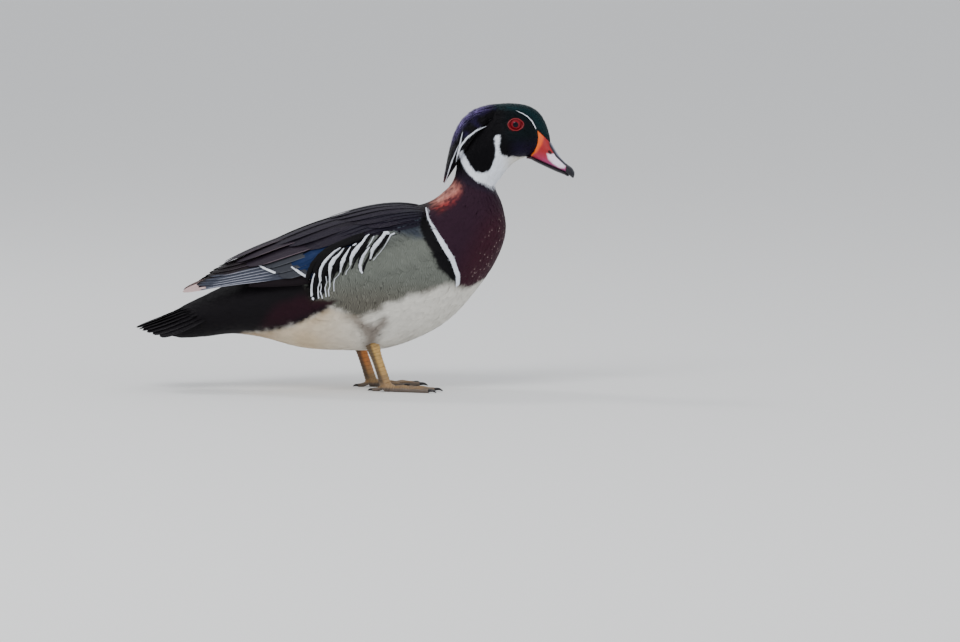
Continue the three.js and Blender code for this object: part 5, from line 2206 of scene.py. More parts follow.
WHITE_BARS = [
    bar([(-34, 101.1), (-35.7, 96.9), (-37, 92.5), (-37.3, 88.1), (-36.8, 82.3)], (0.5, 0.75, 0.8)),
    bar([(-36.4, 80.2), (-35.3, 79.2)], (0.8, 0.8, 0.8)),
    bar(
        [(-11.5, 123.5), (-17.1, 119.9), (-22.6, 114.4), (-26.2, 110), (-28.8, 104.9), (-29.8, 99.8), (-29.6, 95.4)],
        (0.2, 1, 0.9),
    ),
    bar([(-29.7, 96.2), (-31.5, 89.6), (-31.3, 85.2), (-30.9, 80)], (0.6, 0.45, 0.4)),
    bar([(-29.3, 93.2), (-28.7, 89.6), (-29.4, 85.9), (-27.5, 79.8)], (0.3, 0.35, 0.3)),
    bar([(-24.9, 99.1), (-24, 94), (-25.3, 88.9), (-24.3, 81.2)], (0.3, 0.35, 0.3)),
    bar(
        [(-8.4, 123), (-13.1, 117.3), (-17.1, 113.7), (-20, 108.6), (-21.2, 103.5), (-21.6, 95)],
        (0.3, 1.6, 0.5),
    ),
    bar([(-21.4, 95.4), (-21.1, 90.3), (-22.3, 86.7), (-21.8, 81.6)], (0.4, 0.35, 0.2)),
    bar(
        [(-2.7, 124.3), (-5.8, 118.8), (-8.3, 114.4), (-10.5, 110.8), (-11.6, 106.4), (-12.1, 103.5)],
        (0.3, 1.7, 0.7),
    ),
    bar(
        [(-12.1, 104.2), (-13.8, 100.5), (-17.1, 96.9), (-17.7, 91.8), (-17.4, 85.9)],
        (0.3, 0.35, 0.2),
    ),
    bar([(-1, 125.2), (2.3, 127)], (0.35, 0.5, 0.3)),
    bar(
        [(13.6, 134.8), (10.6, 132.6), (8.1, 128.3), (3.7, 123.5), (0.1, 119.5), (-2.5, 115.1), (-3.2, 110)],
        (0.4, 1.8, 0.9),
    ),
    bar([(-3.1, 110), (-4.3, 107.1), (-6.9, 103.5), (-7.2, 100.5)], (0.3, 0.3, 0.2)),
    bar([(17.4, 133.4), (15, 129), (11.4, 124.3)], (0.3, 0.35, 0.3)),
    bar(
        [(13.6, 124.5), (11, 121.7), (8.1, 117.3), (6.5, 112.9), (5.6, 108.6), (6.1, 104.6), (7.4, 102.4)],
        (0.5, 1.8, 0.9),
    ),
    bar(
        [(30.3, 136.7), (27.1, 136.1), (25.6, 133.4), (22.7, 129.7), (19, 126.1), (16.1, 122.4), (14.5, 115.1)],
        (1, 1.9, 0.9),
    ),
    bar(
        [(35.2, 136.4), (31.8, 134.8), (29.3, 130.5), (24.9, 123.9), (20.5, 118.1), (16.9, 113.3)],
        (0.5, 0.35, 0.3),
    ),
]
HEAD_STREAKS = [
    Streak(BROW, (0.5, 0.4, 0.05), 3.5, 0.34, 0, 0.25),
    Streak(EYE_LINE, (0.05, 0.7, 0.5), 6, 0.45, 0, 0.25),
    Streak(CREST_LINES[0], (0.1, 0.5, 0.2), 8, 0.42, 0, 0.5),
    Streak(CREST_LINES[1], (0.1, 0.5, 0.2), 9, 0.42, 0, 0.5),
]


@dataclass
class Streaks(Sided):
    """The black and white lines of small feathers that lie over the coat of one side."""

    plumage: Plumage
    finishes: dict[str, bpy.types.Material]
    side: int

    def _laid(self, surface: SideMap, streak: Streak, rise: float, seed: int) -> Plumes:
        """Lays one line's feathers.

        Args:
            surface: The side they lie on.
            streak: The line.
            rise: How high their tips lie.
            seed: The seed of the draw.

        Returns:
            The feathers.
        """
        draw = np.random.default_rng(seed)
        nodes = np.array(streak.line, float)
        length = np.linalg.norm(np.diff(nodes, axis=0), axis=1).sum()
        count = int(length / streak.spacing)
        share = (np.arange(count) + draw.uniform(0, 1, count)) / count
        points, way = along_line(streak.line, share)
        half = np.interp(share, [0, 0.5, 1], streak.widths)
        normal = np.stack([way[:, 1], -way[:, 0]], 1)
        normal *= np.sign(-normal[:, :1] + 1e-6)
        c, s = math.cos(streak.across), math.sin(streak.across)
        heading = way * c + normal * s
        spread = draw.uniform(-1, 1, count) * np.maximum(half - streak.girth * 0.7, 0)
        reach = np.minimum(streak.length, half * 2.4 / s) if s > 0.1 else np.full(count, streak.length)
        middle = points + normal * (spread * (0.3 if s > 0.1 else 1))[:, None]
        starts = middle - heading * reach[:, None] / 2
        ends = middle + heading * reach[:, None] / 2
        girths = np.minimum(streak.girth, half + 0.1) * draw.uniform(0.85, 1.1, count)
        lift = (-0.3, rise * 0.9, rise + draw.uniform(0, 0.2, count))
        patch = np.stack([0.1 + 0.8 * share, np.full(count, 0.1 + 0.02 * (seed % 40))], 1)
        return Plumes.laid(surface, surface.shown(starts), surface.shown(ends), girths, lift, 0.1, patch)

    def build(self) -> None:
        """Makes the lines of the breast, flank, head and wing."""
        form = FeatherForm(FeatherShape.LOCK, 5, 2)
        flank, white = flank_map(self.side), TINTS.white
        for name, surface, streaks, colour, rise, slot in (
            ("side_bar", flank, BODY_STREAKS, white, 0.5, "breast_plumage"),
            ("flank_black", flank, BLACK_BARS, TINTS.black, 1.15, "body_plumage"),
            ("flank_white", flank, WHITE_BARS, white, 1.45, "body_plumage"),
            ("head_lines", head_map(self.side), HEAD_STREAKS, white, 0.45, "head_plumage"),
            ("wing_lines", wing_map(self.side), WING_STREAKS, white, 0.6, "wing_plumage"),
        ):
            laid = [self._laid(surface, streak, rise, i * 7 + 3) for i, streak in enumerate(streaks)]
            finish = self.finishes["contour"]
            item = self.plumage.grow(f"{name}_{self.word}", Plumes.joined(laid), form, 0.15, finish)
            painter = Painter(points_of(item), vane_of(item))
            painter.lay(colour, np.ones(len(painter.points)), 0)
            write_plumage(item, painter)
            dress(item, finish, slot)


def around(name: str, place: Callable[[Array, Array], Array], rows: int, columns: int) -> bpy.types.Object:
    """Makes a ring that closes both ways from a function of two shares.

    Args:
        name: The object's name.
        place: Gives points in millimetres for shares round the ring and round its girth.
        rows: Steps round the ring.
        columns: Steps round its girth.

    Returns:
        The object.
    """
    first, second = np.meshgrid(np.arange(rows) / rows, np.arange(columns) / columns, indexing="ij")
    points = place(first, second).reshape(-1, 3)
    faces = []
    spots = []
    for i in range(rows):
        for j in range(columns):
            k, m = (i + 1) % rows, (j + 1) % columns
            faces.append((i * columns + j, k * columns + j, k * columns + m, i * columns + m))
            spots += [(i, j), (i + 1, j), (i + 1, j + 1), (i, j + 1)]
    return meshed(name, points, faces, on_map(np.array(spots, float) / (rows, columns)))


# The white patch on the side of the bill
BILL_PATCH = [
    (168.7, 206.8), (171.9, 206.2), (175.4, 206.9), (179, 202.6), (185.8, 197.2), (184, 194),
    (179.7, 194.4), (174.1, 198), (170.1, 202),
]
CULMEN = [(170.4, 219), (171.8, 216.6), (178.2, 205.6), (185.8, 198.4)]
BILL_BASE_LINE = [(159.8, 230.4), (161.6, 222.6), (161, 216.4), (158, 209), (154.4, 204.8)]


@dataclass(frozen=True)
class HornFinish:
    """The material of bill, lids, scaled skin or claws: colours from the mesh, with fine relief."""

    name: str
    roughness: float = 0.3
    coat: float = 0.35
    scales: float = 1200
    relief: float = 0.15
    scutes: float = 0
    glow: float = 0.15

    def build(self) -> bpy.types.Material:
        """Makes the material."""
        made, draw = blank_material(self.name)
        colour = draw.read("plumage", "Color")
        share, turn, _ = draw.add("ShaderNodeSeparateXYZ", {0: draw.read("vane")}).outputs
        place = draw.add("ShaderNodeTexCoord").outputs["Object"]
        mottle = draw.noise(place, 350.0, 4.0)
        cells = draw.add(
            "ShaderNodeTexVoronoi", {"Vector": place, "Scale": self.scales}, feature="DISTANCE_TO_EDGE"
        )
        cell = draw.times(cells.outputs["Distance"], 5.0, clamp=True)
        wave = draw.math("FRACT", draw.plus(share, draw.times(draw.math("ABSOLUTE", turn), -0.3)))
        gap = draw.times(draw.times(wave, draw.minus(1.0, wave)), 9.0, clamp=True)
        ridge = draw.mix(self.scutes, (1, 1, 1, 1), gap)
        shade = draw.plus(0.82, draw.times(mottle, 0.36))
        shade = draw.times(shade, draw.plus(0.55, draw.times(ridge, 0.45)))
        tinted = draw.vector("SCALE", colour, shade)
        grain = draw.plus(draw.times(cell, 0.6), draw.times(mottle, 0.4))
        height = draw.plus(draw.times(grain, 0.5), draw.times(ridge, self.scutes))
        bump = draw.add("ShaderNodeBump", {"Strength": self.relief, "Distance": 0.0004, "Height": height})
        rough = draw.plus(self.roughness - 0.08, draw.times(mottle, 0.16))
        draw.principled(
            {
                "Base Color": tinted,
                "Roughness": rough,
                "Normal": bump.outputs[0],
                "Specular IOR Level": 0.3,
                "Coat Weight": self.coat,
                "Coat Roughness": 0.18,
                "Subsurface Weight": self.glow,
                "Subsurface Radius": (0.004, 0.0018, 0.0012),
                "Subsurface Scale": 0.4,
            }
        )
        return made


@dataclass
class Bill:
    """The bill, with its nail, nostrils and lower half."""

    finish: bpy.types.Material
    nostril: tuple[float, float] = (171.4, 209.2)
    nostril_half: tuple[float, float] = (1.9, 1.05)
    nostril_slope: float = -0.8
    nostril_depth: float = 1.3
    nail_rise: float = 0.3

    def _nostril_reach(self, flat: Array) -> Array:
        """How far points are from a nostril's middle, 1 on its edge.

        Args:
            flat: The points.

        Returns:
            The distances.
        """
        away = flat[:, [0, 2]] - np.array(self.nostril)
        c, s = math.cos(self.nostril_slope), math.sin(self.nostril_slope)
        along = (away[:, 0] * c + away[:, 1] * s) / self.nostril_half[0]
        across = (away[:, 1] * c - away[:, 0] * s) / self.nostril_half[1]
        return np.hypot(along, across)

    def _upper_place(self, share: Array, angle: Array) -> Array:
        """The upper half's points.

        Args:
            share: Shares of its length.
            angle: Angles round it.

        Returns:
            The points.
        """
        points = UPPER_BILL.place(share, angle)
        flat = points.reshape(-1, 3)
        facing = UPPER_BILL.facing(share.ravel(), angle.ravel())
        reach = self._nostril_reach(flat)
        rise = 0.22 * np.exp(-(((reach - 1.35) / 0.3) ** 2)) - self.nostril_depth * ramp(reach, 1.1, 0.5)
        rise *= ramp(np.abs(flat[:, 1]), 2, 4)
        rise += self.nail_rise * ramp(flat[:, 0] - 0.1 * (flat[:, 2] - 195), 184.8, 185.8)
        ridge = ramp(np.abs(angle.ravel()), 0.55, 0.3) * ramp(flat[:, 0], 172, 176)
        rise += 0.3 * ridge * ramp(flat[:, 0], 187, 185)
        under = depth_inside(flat[:, [0, 2]], BILL_EDGE)
        rise -= 3 * ramp(under, 0.4, -1.5)
        return (flat + facing * rise[:, None]).reshape(points.shape)

    def _upper_colours(self, points: Array) -> Array:
        """The upper half's markings.

        Args:
            points: Its points.

        Returns:
            A colour for each.
        """
        painter = Painter(points)
        everywhere = np.ones(len(points))
        x, y, z = points.T
        edge = z - (205.4 - 0.43 * (x - 154))
        fore = ramp(x, 156, 176)
        painter.lay(BARE.bill_red, everywhere)
        painter.lay(BARE.bill_pink, ramp(edge, 10, 3) * (0.25 + 0.75 * fore))
        painter.lay(BARE.bill_violet, ramp(edge, 5, 1.5) * fore * 0.7)
        base, along = line_distance(painter.places, BILL_BASE_LINE)
        painter.lay(BARE.bill_orange, ramp(base, 8.5 - 7 * along, 3.6 - 3 * along) * ramp(along, 1, 0.6))
        painter.lay(BARE.bill_yellow, ramp(base, 1.6, 0.5) * 0.8)
        painter.lay(BARE.bill_ivory, painter.area(BILL_PATCH, 1.1))
        culmen, _ = line_distance(painter.exact, CULMEN)
        painter.lay(BARE.culmen, ramp(culmen, 2.6, 2) * ramp(x, 169.5, 172))
        # Painted highlight: a pale line along the culmen's ridge
        painter.lay(BARE.culmen_highlight, ramp(culmen, 0.75, 0.35) * ramp(x, 170, 173) * 0.7)
        tip = ramp(x - 0.1 * (z - 195), 184.9, 185.7)
        painter.lay(BARE.nail, tip)
        painter.lay(BARE.tomium, ramp(edge, 1.3, 0.3) * ramp(x, 150, 156) * (1 - tip))
        # Painted shade: the nostril's sunk opening is painted dark red-brown
        slit = ramp(self._nostril_reach(points), 1.25, 0.95) * ramp(np.abs(y), 2, 4)
        painter.lay(BARE.nostril, slit)
        return painter.colours

    def _lower_place(self, share: Array, angle: Array) -> Array:
        """The lower half's points, its top pressed up against the upper half."""
        points = LOWER_BILL.place(share, angle)
        points[..., 2] += 0.65 * (1 + np.cos(angle)) * ramp(share, 0, 0.1) * ramp(share, 1, 0.9)
        return points

    def build(self) -> None:
        """Makes both halves."""
        upper = loft("bill_upper_shell", self._upper_place, 150, 120)
        write_colours(upper, self._upper_colours(points_of(upper)))
        dress(upper, self.finish, "bill", "bill_upper")
        lower = loft("bill_lower_shell", self._lower_place, 60, 48)
        points = points_of(lower)
        painter = Painter(points)
        painter.lay(BARE.lower_bill, np.ones(len(points)))
        painter.lay(BARE.chin, ramp(points[:, 0], 163, 153) * 0.6)
        write_colours(lower, painter.colours)
        dress(lower, self.finish, "lower_bill", "bill_lower")


@dataclass(frozen=True)
class EyeFinish:
    """The eye's material: pupil, iris and the red ring of skin round it, under a clear cornea."""

    pupil: float = 2.45
    iris: float = 4.7
    red: tuple = linear(88, 8, 18)
    bright: tuple = linear(136, 22, 34)
    # The iris's outer rim: partly its own darker red and partly painted shade under the lids
    dark: tuple = linear(60, 5, 10)
    black: tuple = (0.002, 0.002, 0.006)

    def build(self) -> bpy.types.Material:
        """Makes the material."""
        made, draw = blank_material("eye")
        place = draw.add("ShaderNodeTexCoord").outputs["Object"]
        x, _, z = draw.add("ShaderNodeSeparateXYZ", {0: place}).outputs
        x = draw.minus(x, EYE_CENTRE[0] * MM)
        z = draw.minus(z, EYE_CENTRE[2] * MM)
        reach = draw.math("SQRT", draw.plus(draw.times(x, x), draw.times(z, z)))
        reach = draw.math("DIVIDE", reach, MM)
        turn = draw.math("ARCTAN2", z, x)
        spokes = draw.add("ShaderNodeCombineXYZ", {0: draw.times(turn, 9.0), 1: draw.times(reach, 0.35)})
        grain = draw.noise(spokes.outputs[0], 1.6, 3.0)
        fibres = draw.mix(grain, (*self.red, 1), (*self.bright, 1))
        # Darker red over the iris's outer 0.9 mm, partly painted shade under the lids
        fibres = draw.mix(draw.past(reach, self.iris - 0.9, 0.9), fibres, (*self.dark, 1))
        iris = draw.mix(draw.past(reach, self.pupil - 0.1, 0.2), (*self.black, 1), fibres)
        draw.principled(
            {
                "Base Color": draw.mix(draw.past(reach, self.iris, 0.2), iris, (*TINTS.lid, 1)),
                "Roughness": 0.3,
                "Specular IOR Level": 0.0,
                "Coat Weight": 0.5,
                "Coat Roughness": 0.02,
                "Coat IOR": 1.35,
            }
        )
        return made


@dataclass
class Eye(Sided):
    """An eyeball and the ring of lids round it."""

    finish: bpy.types.Material
    lid_finish: bpy.types.Material
    side: int
    radius: float = EYE_RADIUS
    lid_half: tuple[float, float] = (6.35, 5.1)
    lid_girth: tuple[float, float] = (0.42, 0.85)
    cornea: float = 0.35

    def _ball_place(self, share: Array, angle: Array) -> Array:
        """The eyeball's points, from the middle of the pupil inwards.

        Args:
            share: Shares of the way from the pupil to the back.
            angle: Angles round the axis.

        Returns:
            The points.
        """
        polar = share * math.pi
        reach = self.radius + self.cornea * ramp(polar, 0.95, 0.2)
        x = EYE_CENTRE[0] + reach * np.sin(polar) * np.cos(angle)
        y = EYE_CENTRE[1] + reach * np.cos(polar)
        z = EYE_CENTRE[2] + reach * np.sin(polar) * np.sin(angle)
        return np.stack([x, self.side * y, z], -1)

    def _lid_place(self, first: Array, second: Array) -> Array:
        """The lids' points, as a ring on the head.

        Args:
            first: Shares of the way round the eye.
            second: Shares of the way round the lid's girth.

        Returns:
            The points.
        """
        turn = first * 2 * math.pi
        c, s = np.cos(turn), np.sin(turn)
        girth = second * 2 * math.pi
        out = self.lid_girth[0] * np.cos(girth) * (1 + 0.1 * np.sin(turn * 23))
        rise = self.lid_girth[1] * np.sin(girth)
        point = 1 + 0.12 * np.maximum(c, 0) ** 6 + 0.05 * np.maximum(-c, 0) ** 6
        x = EYE_CENTRE[0] + (self.lid_half[0] * point + out) * c
        z = EYE_CENTRE[2] + (self.lid_half[1] + out) * s
        y = head_width(EYE_CENTRE[0] + self.lid_half[0] * c, EYE_CENTRE[2] + self.lid_half[1] * s)
        return np.stack([x, self.side * (y - 0.35 + rise), z], -1)

    def build(self) -> None:
        """Makes the eyeball and its lids."""
        ball = loft(f"eyeball_{self.word}", self._ball_place, 56, 56)
        dress(ball, self.finish, "eye", f"eye_{self.word}")
        lid = around(f"lids_{self.word}", self._lid_place, 160, 14)
        points = points_of(lid)
        away = (points[:, [0, 2]] - (EYE_CENTRE[0], EYE_CENTRE[2])) / self.lid_half
        away = np.hypot(away[:, 0], away[:, 1])
        colours = np.array(BARE.lids) * (0.75 + 0.25 * ramp(away, 1.2, 0.9))[:, None]
        write_colours(lid, colours)
        dress(lid, self.lid_finish, "head_plumage")


def head_width(x: Array, z: Array) -> Array:
    """The head's half width at places of the side view.

    Args:
        x: Each place's x.
        z: Each place's height.

    Returns:
        The half widths.
    """
    shares, angles = np.meshgrid(np.linspace(0.68, 0.92, 120), np.linspace(0.2, 2.6, 120), indexing="ij")
    points = TRUNK.place(shares, angles).reshape(-1, 3)
    flat = np.stack([x.ravel(), z.ravel()], 1)
    ways, inverse = np.unique(flat.round(3), axis=0, return_inverse=True)
    nearest = [np.argsort((points[:, 0] - a) ** 2 + (points[:, 2] - b) ** 2)[:6] for a, b in ways]
    widths = np.array([points[index, 1].mean() for index in nearest])
    return widths[inverse.ravel()].reshape(x.shape)


class Toe(NamedTuple):
    """A front toe: its length, half girth and heading from straight ahead."""

    length: float
    girth: float
    heading: float


INNER_TOE = Toe(33, 2.6, -0.42)
MIDDLE_TOE = Toe(43, 2.9, 0.02)
OUTER_TOE = Toe(41, 2.7, 0.4)
TOE_SWELLS = [(-0.05, 1.25), (0.2, 1), (0.36, 1.12), (0.55, 0.86), (0.72, 1), (0.88, 0.78), (1, 0.75)]


@dataclass
class Foot(Sided):
    """A leg: the scaled shank, the webbed toes and their claws."""

    finishes: dict[str, bpy.types.Material]
    side: int
    joint: tuple[float, float] = (27.5, 5.5)
    spread: float = 27
    stride: float = -13.5
    shank: float = 37
    lean: float = 0.32
    claw: float = 7
    toe_sink: float = 0.76
    web_thick: float = 1.1
    clearance: float = 0.05  # between the soles and the floor

    @property
    def ankle(self) -> Array:
        """Where the shank meets the toes."""
        x, z = self.joint
        return np.array([x + (self.stride if self.side > 0 else 0), self.side * self.spread, z])

    def limb(
        self, name: str, sections: Sequence[Sequence[float]], scute: float, rows: int, columns: int
    ) -> bpy.types.Object:
        """Makes a rounded limb through sections.

        Args:
            name: The object's name.
            sections: Middle x, y, z, half width and half height of each.
            scute: How long each scute is, in millimetres.
            rows: Steps along it.
            columns: Steps round it.

        Returns:
            The object, with its length in scutes and its turn in the vane attribute.
        """
        table = np.array(sections, float)
        length = np.linalg.norm(np.diff(table[:, :3], axis=0), axis=1).sum()

        def place(share: Array, angle: Array) -> Array:
            """The limb's points.

            Args:
                share: Shares of its length.
                angle: Angles round it.

            Returns:
                The points.
            """
            read = catmull(table, share)
            step = 0.01
            inner = np.clip(share, step, 1 - step)
            way = unit(catmull(table[:, :3], inner + step) - catmull(table[:, :3], inner - step))
            flat = unit(np.cross(way, np.array([0.0, 0.0, 1.0]) + 0 * way))
            steep = np.abs(way[..., 2:3]) > 0.8
            flat = np.where(steep, unit(np.cross(way, np.array([1.0, 0, 0]) + 0 * way)) * -1, flat)
            up = np.cross(flat, way)
            from_end = np.minimum(share, 1 - share) / 0.035
            round_off = np.sqrt(np.clip(1 - (1 - from_end).clip(0, 1) ** 2, 0, 1))
            plates = 1 + 0.035 * np.cos(share * length / scute * 2 * math.pi) if scute else 1
            wide = read[..., 3:4] * (round_off * plates)[..., None]
            high = read[..., 4:5] * (round_off * plates)[..., None]
            points = read[..., :3] + flat * wide * np.sin(angle)[..., None]
            points = points + up * high * np.cos(angle)[..., None]
            points[..., 2] = np.maximum(points[..., 2], self.clearance)
            return points

        item = loft(name, place, rows, columns)
        spots = np.empty(len(item.data.loops) * 2, np.float32)
        item.data.uv_layers["OFBake"].data.foreach_get("uv", spots)
        corner = np.empty(len(item.data.loops), int)
        item.data.loops.foreach_get("vertex_index", corner)
        vane = np.zeros((len(item.data.vertices), 3), np.float32)
        flat = (spots.reshape(-1, 2) - MAP_MARGIN) / MAP_SHARE
        vane[corner, 0] = flat[:, 0] * length / (scute or 1)
        vane[corner, 1] = flat[:, 1] * 2 - 1
        made = item.data.attributes.new("vane", "FLOAT_VECTOR", "POINT")
        made.data.foreach_set("vector", vane.ravel())
        return item

    def _paint(self, item: bpy.types.Object, dusk: float = 0) -> None:
        """Lays the skin's colours: ochre in front, in a tone painted for the light on each side, dusky behind and
        below.

        Args:
            item: The piece.
            dusk: How dusky it is all over, from 0 to 1.
        """
        points = points_of(item)
        painter = Painter(points)
        everywhere = np.ones(len(points))
        lift = ramp(points[:, 2], 8, 26)
        # Painted light: the near right shank and the far left one get copies of one colour as each side's light
        # showed it
        front = BARE.right_shank if self.side < 0 else BARE.left_shank
        painter.lay(BARE.sole, everywhere)
        painter.lay(BARE.toe, ramp(points[:, 2], 2.4, 4.8))
        painter.lay(front, lift)
        behind = self.ankle[0] - (points[:, 2] - self.ankle[2]) * math.tan(self.lean)
        rear = ramp(points[:, 0] - behind, 0.6, -2.6) * ramp(points[:, 2], 4, 9)
        painter.lay(BARE.shank_rear, rear * 0.85)
        painter.lay(BARE.dusky, everywhere * dusk)
        joints = ramp(ripple(points, 4), 0.2, 0.9) * 0.3
        painter.lay(BARE.stain, joints)
        write_colours(item, painter.colours)

    def _claw(
        self, name: str, sections: Sequence[Sequence[float]], rows: int, columns: int
    ) -> bpy.types.Object:
        """Makes a black claw through sections, as limb does."""
        nail = self.limb(f"{name}_{self.word}", sections, 0, rows, columns)
        write_colours(nail, np.tile(BARE.claw, (len(nail.data.vertices), 1)))
        return nail

    def _toe(self, toe: Toe, name: str) -> tuple[bpy.types.Object, bpy.types.Object]:
        """Makes a toe and its claw.

        Args:
            toe: The toe.
            name: Its name.

        Returns:
            Both pieces.
        """
        heading = self.side * toe.heading
        out = np.array([math.cos(heading), math.sin(heading), 0])

        def at(reach: float, height: float, size: float) -> list[float]:
            """A section of the toe."""
            place = self.ankle + out * reach
            return [place[0], place[1], height, size, size]

        swells = [
            at(share * toe.length, self.toe_sink * size * toe.girth, size * toe.girth)
            for share, size in TOE_SWELLS
        ]
        flesh = self.limb(f"toe_{name}_{self.word}", swells, 1.7, 90, 24)
        self._paint(flesh, 0.25)
        claw = [
            at(0.95 * toe.length, 1.9, 1.5),
            at(toe.length + 0.45 * self.claw, 2.3, 1.2),
            at(toe.length + self.claw, 0.7, 0.4),
        ]
        return flesh, self._claw(f"claw_{name}", claw, 30, 16)

    def _web(self, first: Toe, second: Toe, name: str) -> bpy.types.Object:
        """Makes the web between two toes.

        Args:
            first: The inner toe.
            second: The outer toe.
            name: The web's name.

        Returns:
            The web.
        """

        def place(reach: Array, share: Array, layer: int) -> Array:
            """The web's points.

            Args:
                reach: Shares of the way out.
                share: Shares of the way from toe to toe.
                layer: 1 for the upper face.

            Returns:
                The points.
            """
            heading = self.side * (first.heading + (second.heading - first.heading) * share)
            full = (first.length + (second.length - first.length) * share) * 0.93
            bend = np.sin(math.pi * share)
            far = 3 + reach * (full * (1 - 0.26 * bend) - 3)
            fold = 0.25 * np.sin(share * 9 + reach * 2) * bend * reach
            thick = self.web_thick * (1 - 0.55 * bend * reach**2)
            z = self.clearance + 1.2 * (1 - reach) + layer * thick + fold * layer
            x = self.ankle[0] + np.cos(heading) * far
            return np.stack([x, self.ankle[1] + np.sin(heading) * far, z], -1)

        item = slab(f"web_{name}_{self.word}", place, 40, 24)
        points = points_of(item)
        painter = Painter(points)
        painter.lay(BARE.web, np.ones(len(points)))
        reach = np.linalg.norm(points[:, :2] - self.ankle[:2], axis=1)
        painter.lay(BARE.web_edge, ramp(reach, 28, 31) * 0.5)
        painter.lay(BARE.web_fold, ramp(ripple(points, 3), 0, 0.8) * 0.6)
        write_colours(item, painter.colours)
        return item

    def build(self) -> None:
        """Makes the leg and foot."""
        ankle = self.ankle
        back, rise = math.sin(self.lean) * self.shank, math.cos(self.lean) * self.shank
        heel = ankle + np.array([-back, self.side * 2.5, rise])
        along = [list(heel * (1 - share) + ankle * share) for share in (0, 0.3, 0.65, 1)]
        top = [heel[0] - 2, heel[1] - self.side * 1.5, heel[2] + 7, 4.6, 5]
        sections = [
            top, [*along[0], 5.4, 6], [*along[1], 4, 4.8], [*along[2], 3.8, 4.7], [*along[3], 4.2, 4.8],
            [ankle[0] + 2.5, ankle[1], ankle[2] - 2.6, 4.8, 2.6],
        ]
        shank = self.limb(f"shank_{self.word}", sections, 2.1, 150, 32)
        self._paint(shank)
        dress(shank, self.finishes["scaled"], "leg_skin", f"leg_{self.word}")
        x, y, z = ankle
        knob = [[x - 3.5, y, z + 2.5, 4, 4.2], [x + 1, y, z - 1, 5.2, 4.5], [x + 8, y, z - 2.9, 4.8, 2.4]]
        side = self.side
        hind = [
            [x - 1, y - side * 2, 4.4, 2.2, 2.2], [x - 7.2, y - side * 4, 1.8, 1.9, 1.8],
            [x - 12, y - side * 5, 1.4, 1.6, 1.4],
        ]
        spur = [
            [x - 11.5, y - side * 4.9, 1.5, 1.1, 1.2], [x - 14, y - side * 5.4, 1.5, 0.9, 1],
            [x - 16.2, y - side * 5.6, 0.6, 0.3, 0.3],
        ]
        flesh = [
            self.limb(f"knob_{self.word}", knob, 2, 40, 28),
            self.limb(f"hind_toe_{self.word}", hind, 1.6, 40, 20),
        ]
        for item in flesh:
            self._paint(item, 0.15)
        claws = [self._claw("hind_claw", spur, 20, 14)]
        for toe, name in ((INNER_TOE, "inner"), (MIDDLE_TOE, "middle"), (OUTER_TOE, "outer")):
            made, nail = self._toe(toe, name)
            flesh.append(made)
            claws.append(nail)
        webs = [self._web(INNER_TOE, MIDDLE_TOE, "inner"), self._web(MIDDLE_TOE, OUTER_TOE, "outer")]
        dress(flesh[0], self.finishes["scaled"], "leg_skin", f"foot_{self.word}")
        for item in flesh[1:]:
            dress(item, self.finishes["scaled"], "leg_skin")
        for item in webs:
            dress(item, self.finishes["web"], "leg_skin")
        for item in claws:
            dress(item, self.finishes["claw"], "leg_skin")


FEATHER_FINISHES = [
    FeatherFinish("down", 0.8, 0.2, 0, 40, 0.2),
    FeatherFinish("contour"),
    FeatherFinish("gloss", 0.45, 0.8, 0.05, 24, 0.3),
]
PALE_EDGE = linear(150, 152, 164)
VANE_FINISHES = [
    VaneFinish("primary", TINTS.brown, TINTS.quill, outer_start=0.1, edge=PALE_EDGE, edge_start=0.86),
    VaneFinish(
        "dark_primary", TINTS.brown, TINTS.brown, outer_start=0.1, edge=linear(84, 72, 82),
        edge_start=0.9,
    ),
    # The pale primaries' pink-white tip is painted sunlight on the folded wing's tip
    VaneFinish(
        "pale_primary", TINTS.brown, TINTS.quill, tip=TINTS.rose_sunlit_tip, tip_start=0.84, outer_start=0.1,
        edge=PALE_EDGE, edge_start=0.86,
    ),
    VaneFinish("speculum", TINTS.black, TINTS.blue, outer_start=-0.8, metallic=0.3),
    VaneFinish(
        "inner", linear(34, 36, 42), linear(56, 58, 64), outer_start=-0.3, edge=linear(84, 86, 92),
        edge_start=0.9,
    ),
    # The long tertials' pinkish edge is painted rim light along the back's upper outline
    VaneFinish(
        "long_tertial", linear(30, 23, 32), linear(38, 30, 40), edge=linear(112, 96, 104), edge_start=0.92,
        outer_start=0,
    ),
    VaneFinish(
        "tertial", linear(22, 17, 27), linear(27, 21, 34), edge=linear(40, 31, 40), edge_start=0.95,
        outer_start=0,
    ),
    VaneFinish("covert", linear(20, 18, 28), linear(25, 22, 34), outer_start=0.2),
    VaneFinish("tail", TINTS.rump, TINTS.black, outer_start=0, edge=TINTS.bronze, edge_start=0.95),
]
HORN_FINISHES = [
    HornFinish("horn", 0.38, 0.15),
    HornFinish("lid", 0.35, 0.5, 2000, 0.2, 0, 0.25),
    HornFinish("scaled", 0.5, 0.15, 1040, 0.5, 0.9),
    HornFinish("web", 0.45, 0.2, 1360, 0.5),
    HornFinish("claw", 0.3, 0.3, 800, 0.1, 0, 0),
]


